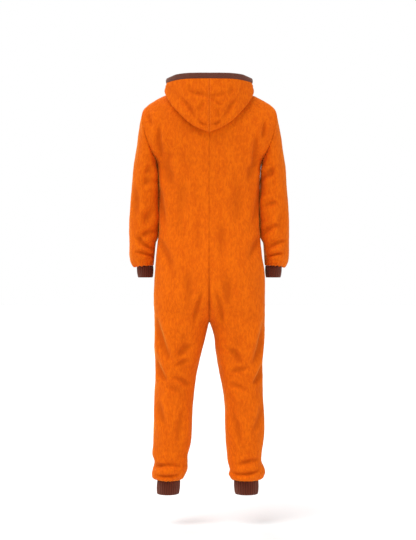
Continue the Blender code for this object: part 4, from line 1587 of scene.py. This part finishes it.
@dataclass
class Hood:
    """Both halves of the hood and the brown band round its edge."""

    cut: HoodPattern
    finishes: Finishes
    drape: Drape
    rows: int = 150
    columns: int = 130
    seen_column: int = 8
    relaxing: int = 80
    neck_calm: float = 10.0
    rim_calm: float = 9.0
    groove: float = 0.9
    groove_width: float = 2.4
    seam_shade: float = 0.4
    seam_shade_width: float = 1.6
    stitch_offset: float = 3.4
    cheek: float = 4.0
    cheek_height: float = 18.0
    cheek_reach: float = 22.0
    cheek_side: tuple[float, float] = (112.0, 150.0)
    flat: tuple[float, float] = (0.36, 0.32)

    def dense(self) -> tuple[np.ndarray, np.ndarray]:
        """The hood half at its full number of points, and its outward normals."""
        rough = self.cut.grid()
        across = resample(rough, np.linspace(0, 1, self.rows))
        fine = resample(across.transpose(1, 0, 2), np.linspace(0, 1, self.columns))
        grid = np.ascontiguousarray(fine.transpose(1, 0, 2))
        relax(grid, 1, self.rows - 1, self.relaxing)
        grid[0, :, 0] = 0
        normal = grid_normals(grid)
        if normal[0, -self.seen_column, 1] < 0:
            normal = -normal
        normal[0, :, 0] = 0
        return grid, unit(normal)

    def build(self) -> None:
        """Builds the halves, the band and the stitching on the centre seam."""
        grid, normal = self.dense()
        rim = edge_distance(grid, 1, True)
        neck = edge_distance(grid, 1, False)
        centre = edge_distance(grid, 0, False)
        rim_calm = smooth_step(0, self.rim_calm, rim)
        calm = smooth_step(0, self.neck_calm, neck) * rim_calm
        cheek = self.cheek * near(grid[..., 2] - self.cheek_height, self.cheek_reach)
        cheek = cheek * smooth_step(*self.cheek_side, grid[..., 0]) * rim_calm
        sunk = cheek - self.groove * near(centre, self.groove_width)
        # Painted shade along the hood's centre seam.
        seam = self.seam_shade * near(centre, self.seam_shade_width)
        for side in Side:
            move = self.drape.laid(mirrored(grid, side), mirrored(normal, side), calm)
            # The fold mask is painted shade, darker where the cloth sinks into a crease.
            fold = self.drape.fold_shade_mask(move)
            outer = grid + normal * (move + sunk)[..., None]
            inner = outer - FLEECE * normal
            piece = add_wall(f"hood_{side.value}_cloth", mirrored(outer, side),
                             mirrored(inner, side), self.finishes.fleece,
                             masks={"fold": fold, "seam": seam})
            settle(piece, f"hood_{side.value}")
            self.topstitch(side, outer, normal)
            if side is Side.LEFT:
                rim_points = (outer[:, -2:], normal[:, -1])
        HoodBand(self.finishes).build(*rim_points)

    def topstitch(self, side: Side, outer: np.ndarray, normal: np.ndarray) -> None:
        """Lays one row of stitches beside the centre seam."""
        reach = edge_distance(outer, 0, False)
        line = []
        lift = []
        for col in range(outer.shape[1]):
            spot = [np.interp(self.stitch_offset, reach[:, col], outer[:, col, axis])
                    for axis in range(3)]
            row = int(np.searchsorted(reach[:, col], self.stitch_offset))
            line.append(spot)
            lift.append(normal[row, col])
        run = StitchRun(f"hood_topstitch_{side.value}", self.finishes.thread)
        run.build(mirrored(np.array(line), side), mirrored(np.array(lift), side))


@dataclass
class HoodBand:
    """The knitted band along the rim of the hood, lower and drawn in at its two tips."""

    finishes: Finishes
    height: float = 20.0
    columns: int = 18
    upright: float = 0.6
    swell: tuple[tuple[float, float], ...] = ((0, 0.4), (0.3, 1.4), (0.75, 1.2), (1, -0.8))
    cloth: tuple[tuple[float, float], ...] = ((0, 3.0), (0.06, 4.4), (0.85, 4.2), (1, 2.0))
    tip: tuple[float, float] = (112.0, 152.0)
    tip_in: float = 5.5
    tip_curve: float = 1.6
    tip_lower: float = 0.1
    rib: float = 0.7

    def build(self, rim: np.ndarray, normal: np.ndarray) -> None:
        """Builds the band, from the left front round the back to the right front.

        Args:
            rim: The last two columns of the hood's left half.
            normal: The outward normals along its rim.
        """
        rise = unit(unit(rim[:, 1] - rim[:, 0]) + np.array([0, 0, self.upright]))
        out = unit(normal * np.array([1, 1, 0]))
        share = np.linspace(0, 1, self.columns)
        swell = np.interp(share, *zip(*self.swell))
        cloth = np.interp(share, *zip(*self.cloth))
        tip = smooth_step(*self.tip, rim[:, 1, 0])[:, None]
        climb = self.height * share * (1 - self.tip_lower * tip * share)
        spine = rim[:, 1:] + rise[:, None] * climb[..., None]
        spine[..., 0] -= self.tip_in * tip * share**self.tip_curve
        layers = []
        for lift in (swell, swell - cloth):
            layer = spine + out[:, None] * lift[None, :, None]
            layer[0, :, 0] = 0
            layers.append(np.concatenate([mirrored(layer[:0:-1], Side.RIGHT), layer]))
        rib = np.full(layers[0].shape[:2], self.rib)
        piece = add_wall("hood_band_knit", *layers, self.finishes.band, masks={"rib": rib})
        settle(piece, "hood_band")


class Repeat(Enum):
    """What a geometry group lays along a line: the value is the group's name."""

    STITCH = "laid_stitches"
    TOOTH = "laid_teeth"


def repeat_tree(repeat: Repeat) -> bpy.types.NodeTree:
    """Makes a geometry group that lays one small solid on every point it is given.

    Args:
        repeat: Whether the solid is a rounded stitch or a block, for a zip tooth.

    Returns:
        The group, whose points carry the vectors "along" and "out".
    """
    tree = bpy.data.node_groups.new(repeat.value, "GeometryNodeTree")
    face = tree.interface
    face.new_socket("Geometry", in_out="INPUT", socket_type="NodeSocketGeometry")
    face.new_socket("Size", in_out="INPUT", socket_type="NodeSocketVector")
    face.new_socket("Finish", in_out="INPUT", socket_type="NodeSocketMaterial")
    face.new_socket("Geometry", in_out="OUTPUT", socket_type="NodeSocketGeometry")
    bench = NodeBench(tree)
    inlet = bench.add("NodeGroupInput")
    points = bench.add("GeometryNodeMeshToPoints", None, {"Mesh": inlet.outputs["Geometry"]})
    if repeat is Repeat.TOOTH:
        solid = bench.add("GeometryNodeMeshCube").outputs["Mesh"]
    else:
        solid = bench.add("GeometryNodeMeshUVSphere", None,
                          {"Segments": 8, "Rings": 6, "Radius": 0.5}).outputs["Mesh"]
    vectors = {}
    for label in ("along", "out"):
        node = bench.add("GeometryNodeInputNamedAttribute", {"data_type": "FLOAT_VECTOR"},
                         {"Name": label})
        vectors[label] = node.outputs["Attribute"]
    first = bench.add("FunctionNodeAlignRotationToVector", {"axis": "Z"},
                      {"Vector": vectors["out"]}).outputs[0]
    turned = bench.add("FunctionNodeAlignRotationToVector", {"axis": "X", "pivot_axis": "Z"},
                       {"Rotation": first, "Vector": vectors["along"]}).outputs[0]
    laid = bench.add("GeometryNodeInstanceOnPoints", None,
                     {"Points": points.outputs[0], "Instance": solid, "Rotation": turned,
                      "Scale": inlet.outputs["Size"]}).outputs[0]
    real = bench.add("GeometryNodeRealizeInstances", None, {"Geometry": laid}).outputs[0]
    made = bench.add("GeometryNodeSetMaterial", None,
                     {"Geometry": real, "Material": inlet.outputs["Finish"]}).outputs[0]
    bench.add("NodeGroupOutput", None, {"Geometry": made})
    return tree


def lay_repeats(name: str, repeat: Repeat, spots: np.ndarray, along: np.ndarray,
                out: np.ndarray, size: tuple[float, float, float],
                finish: bpy.types.Material) -> bpy.types.Object:
    """Lays small solids on points and makes one plain mesh of them.

    Args:
        name: The object's name.
        repeat: What is laid.
        spots: Places in millimetres.
        along: The direction of each solid's length.
        out: The direction out of the cloth.
        size: Length, width and height in millimetres.
        finish: The material.

    Returns:
        The object.
    """
    tree = bpy.data.node_groups.get(repeat.value) or repeat_tree(repeat)
    mesh = bpy.data.meshes.new(name)
    mesh.from_pydata([tuple(float(v) * MM for v in spot) for spot in spots], [], [])
    for label, values in (("along", along), ("out", out)):
        layer = mesh.attributes.new(label, "FLOAT_VECTOR", "POINT")
        layer.data.foreach_set("vector", values.astype(np.float32).ravel())
    obj = bpy.data.objects.new(name, mesh)
    bpy.context.scene.collection.objects.link(obj)
    modifier = obj.modifiers.new("repeats", "NODES")
    modifier.node_group = tree
    sockets = {item.name: item.identifier for item in tree.interface.items_tree
               if item.in_out == "INPUT"}
    modifier[sockets["Size"]] = [v * MM for v in size]
    modifier[sockets["Finish"]] = finish
    obj.update_tag()
    whole = obj.evaluated_get(bpy.context.evaluated_depsgraph_get())
    plain = bpy.data.meshes.new_from_object(whole)
    obj.modifiers.remove(modifier)
    obj.data = plain
    plain.name = name
    if repeat is Repeat.STITCH:
        plain.shade_smooth()
    return obj


def spaced(line: np.ndarray, lift: np.ndarray, pitch: float, start: float = 0.0
           ) -> tuple[np.ndarray, np.ndarray, np.ndarray]:
    """Spots at an even pitch along a line, with its directions there.

    Args:
        line: Points of the line.
        lift: The direction out of the cloth at each.
        pitch: Distance from spot to spot.
        start: Distance of the first one from the line's start.

    Returns:
        The spots, the directions along the line and the directions out.
    """
    run = np.concatenate([[0], np.cumsum(np.linalg.norm(np.diff(line, axis=0), axis=1))])
    places = np.arange(start, run[-1], pitch)
    spots = np.stack([np.interp(places, run, line[:, axis]) for axis in range(3)], axis=1)
    out = np.stack([np.interp(places, run, lift[:, axis]) for axis in range(3)], axis=1)
    slope = np.gradient(line, axis=0)
    along = np.stack([np.interp(places, run, slope[:, axis]) for axis in range(3)], axis=1)
    return spots, unit(along), unit(out)


@dataclass
class StitchRun:
    """A row of sewn stitches along a line on the cloth."""

    name: str
    finish: bpy.types.Material
    pitch: float = 3.4
    length: float = 2.7
    width: float = 0.75
    height: float = 0.6
    proud: float = 0.25

    def build(self, line: np.ndarray, lift: np.ndarray) -> None:
        """Lays the stitches on the line, just proud of the cloth."""
        spots, along, out = spaced(line, lift, self.pitch, self.pitch / 2)
        spots = spots + out * self.height * self.proud
        size = (self.length, self.width, self.height)
        piece = lay_repeats(self.name, Repeat.STITCH, spots, along, out, size, self.finish)
        settle(piece, "")


@dataclass
class ZipFront:
    """The closed zip in the centre front: tapes, teeth, slider and pull tab."""

    body: BodyPanels
    finishes: Finishes
    tape_edge: float = 3.3
    tape_width: float = 13.0
    tape_cloth: float = 0.9
    tape_gap: float = 0.8
    tape_columns: int = 6
    tooth_pitch: float = 2.2
    tooth_size: tuple[float, float, float] = (3.6, 1.2, 2.2)
    tooth_shift: float = 1.1
    chain_sunk: float = 2.4
    chain_skips: int = 6
    cord_half: float = 0.9

    def zip_slice(self, side: Side) -> slice:
        """The rows of the front panel that lie beside the zip."""
        grid = self.body.grids[side, Face.FRONT]
        start = self.body.pattern.neck_rows
        stop = int(np.argmax(-grid[start:, 0, 2] > self.body.pattern.zip_bottom)) + start
        return slice(start, stop)

    def build_tape(self, side: Side) -> None:
        """Builds one tape behind the edge of its front panel."""
        lining = self.body.linings[side, Face.FRONT][self.zip_slice(side)]
        wide = np.linspace(self.tape_edge, self.tape_edge + self.tape_width, self.tape_columns)
        rows = []
        for row in lining:
            x = np.maximum.accumulate(row[:, 0])
            spots = [wide, np.interp(wide, x, row[:, 1]), np.interp(wide, x, row[:, 2])]
            rows.append(np.stack(spots, axis=1))
        face = np.array(rows)
        out = grid_normals(face)
        out = out if out[..., 1].mean() < 0 else -out
        outer = face - out * self.tape_gap
        inner = outer - out * self.tape_cloth
        name = f"zip_tape_{side.value}"
        piece = add_wall(f"{name}_cloth", mirrored(outer, side), mirrored(inner, side),
                         self.finishes.tape)
        settle(piece, name)

    def build_chain(self) -> None:
        """Lays the closed teeth, turned to each side in turn, over their middle cord."""
        grid = self.body.grids[Side.LEFT, Face.FRONT][self.zip_slice(Side.LEFT), 0]
        line = grid * np.array([0, 1, 1])
        slope = unit(np.gradient(line, axis=0))
        out = np.stack([np.zeros(len(line)), slope[:, 2], -slope[:, 1]], axis=1)
        out = out[self.chain_skips:]
        line = line[self.chain_skips:] - out * self.chain_sunk
        spots, _, lift = spaced(line, out, self.tooth_pitch)
        shift = np.where(np.arange(len(spots)) % 2 == 0, self.tooth_shift, -self.tooth_shift)
        spots = spots + shift[:, None] * np.array([1, 0, 0])
        across = np.broadcast_to(np.array([1.0, 0.0, 0.0]), spots.shape)
        teeth = lay_repeats("zip_teeth_row", Repeat.TOOTH, spots, across, lift,
                            self.tooth_size, self.finishes.teeth)
        settle(teeth, "zip_chain")
        half = np.array([self.cord_half, 0, 0])
        outer = np.stack([line - half, line + half], axis=1)
        inner = outer - out[:, None] * self.cord_half
        cord = add_wall("zip_teeth_cord", outer, inner, self.finishes.tape)
        settle(cord, "")

    def build(self) -> None:
        """Builds the tapes and the chain, and gives the slider and the pull their metal."""
        for side in Side:
            self.build_tape(side)
        self.build_chain()
        for obj in bpy.data.objects:
            if obj.type == "MESH" and obj.name in ("zip_slider", "zip_pull"):
                for place in obj.material_slots:
                    place.material = self.finishes.metal


@dataclass
class Studio:
    """A pale floor, soft light and the photo's camera."""

    floor_down: float = 1.545
    floor_half: float = 30.0
    floor_colour: Colour = (0.93, 0.93, 0.93)
    floor_roughness: float = 0.9
    camera: tuple[float, float, float] = (0.0047, 5.0, -0.626)
    lens: float = 92.6
    sensor: float = 36.0
    sight: float = 200.0
    world: float = 0.48
    lamps: tuple[Lamp, ...] = (
        Lamp("key_light", 42, 58, 1.9, 42),
        Lamp("fill_light", -60, 30, 0.5, 30),
        Lamp("front_light", 150, 46, 1.4, 40),
    )

    def build(self) -> None:
        """Builds the floor, the lights, the world and the camera."""
        self.build_floor()
        self.build_world()
        for lamp in self.lamps:
            self.build_lamp(lamp)
        self.build_camera()
        bpy.context.scene.view_settings.view_transform = "Standard"

    def build_floor(self) -> None:
        """Lays the floor where the soles of the wearer's shoes would stand."""
        finish = Finish("pale_floor", self.floor_colour, self.floor_roughness).make()
        h = self.floor_half
        corners = np.array([[-h, -h], [h, -h], [h, h], [-h, h]]) / MM
        points = np.column_stack([corners, np.full(4, -self.floor_down / MM)])
        floor = add_mesh("floor", points, np.array([[0, 1, 2, 3]]), finish)

    def build_world(self) -> None:
        """Makes an even pale surrounding, white where the camera looks straight at it."""
        world = bpy.data.worlds.new("studio_world")
        world.use_nodes = True
        bench = NodeBench(world.node_tree)
        seen = bench.add("ShaderNodeLightPath").outputs["Is Camera Ray"]
        strength = bench.math("MULTIPLY_ADD", seen, 1.0 - self.world, self.world)
        back = bench.add("ShaderNodeBackground", None,
                         {"Color": opaque((1.0, 1.0, 1.0)), "Strength": strength})
        bench.add("ShaderNodeOutputWorld", None, {"Surface": back.outputs[0]})
        bpy.context.scene.world = world

    def build_lamp(self, lamp: Lamp) -> None:
        """Adds one soft distant light."""
        data = bpy.data.lights.new(lamp.name, "SUN")
        data.energy = lamp.power
        data.angle = math.radians(lamp.spread)
        obj = bpy.data.objects.new(lamp.name, data)
        turned = math.radians(180 - lamp.turn)
        obj.rotation_euler = (math.radians(90 - lamp.rise), 0, turned)
        bpy.context.scene.collection.objects.link(obj)

    def build_camera(self) -> None:
        """Sets the camera where the photo was taken from."""
        data = bpy.data.cameras.new("photo_camera")
        data.sensor_fit = "VERTICAL"
        data.sensor_height = self.sensor
        data.lens = self.lens
        data.clip_end = self.sight
        camera = bpy.data.objects.new("photo_camera", data)
        camera.location = self.camera
        camera.rotation_euler = (math.pi / 2, 0, math.pi)
        bpy.context.scene.collection.objects.link(camera)
        bpy.context.scene.camera = camera


@dataclass
class Jumpsuit:
    """The whole garment, piece by piece."""

    finishes: Finishes = field(default_factory=Finishes)
    drape: Drape = field(default_factory=Drape)
    pattern: BodyPattern = field(default_factory=lambda: BodyPattern(
        columns=72, armhole_rows=60, neck_rows=20, torso_rows=100, fork_rows=28,
        leg_rows=110, hem_steps=5, relaxing=70, relaxed_from=12, relaxed_to=92,
        turn_rows=16, turn_relaxing=50))
    hood_drape: Drape = field(default_factory=lambda: Drape(creases=[
        *creases(Face.BACK, [
            (66, 8, 0, 24, 10, 3.0, -4), (6, 24, -60, 4, 10, 2.8, 5),
            (104, 20, 50, 98, 10, 4.4, -6), (-100, 22, -56, 92, 10, 3.8, 6),
            (-8, 26, -46, 52, 8, 3.6, 3), (16, 34, 44, 74, 9, 3.2, -3),
            (42, 106, 6, 120, 7, 4.2, 3), (-10, 118, -40, 104, 7, 4.0, 3),
            (-22, 60, -30, 98, 8, 3.2, -3), (72, -26, 60, 14, 11, 3.0, 4),
            (-78, -24, -70, 14, 11, 3.0, -4),
        ]),
    ], unevenness=1.0, wave=80.0))

    def build(self) -> None:
        """Builds every piece."""
        body = BodyPanels(self.pattern, self.drape, self.finishes)
        body.build()
        Sleeves(self.pattern, self.drape, self.finishes, body).build()
        Cuffs(self.finishes).build()
        Hood(HoodPattern(BodyPattern()), self.finishes, self.hood_drape).build()
        ZipFront(body, self.finishes).build()


def main() -> None:
    """Dresses the frame and sets the studio."""
    logging.basicConfig(level=logging.INFO, format="%(message)s")
    Jumpsuit().build()
    Studio().build()


if __name__ == "__main__":
    main()
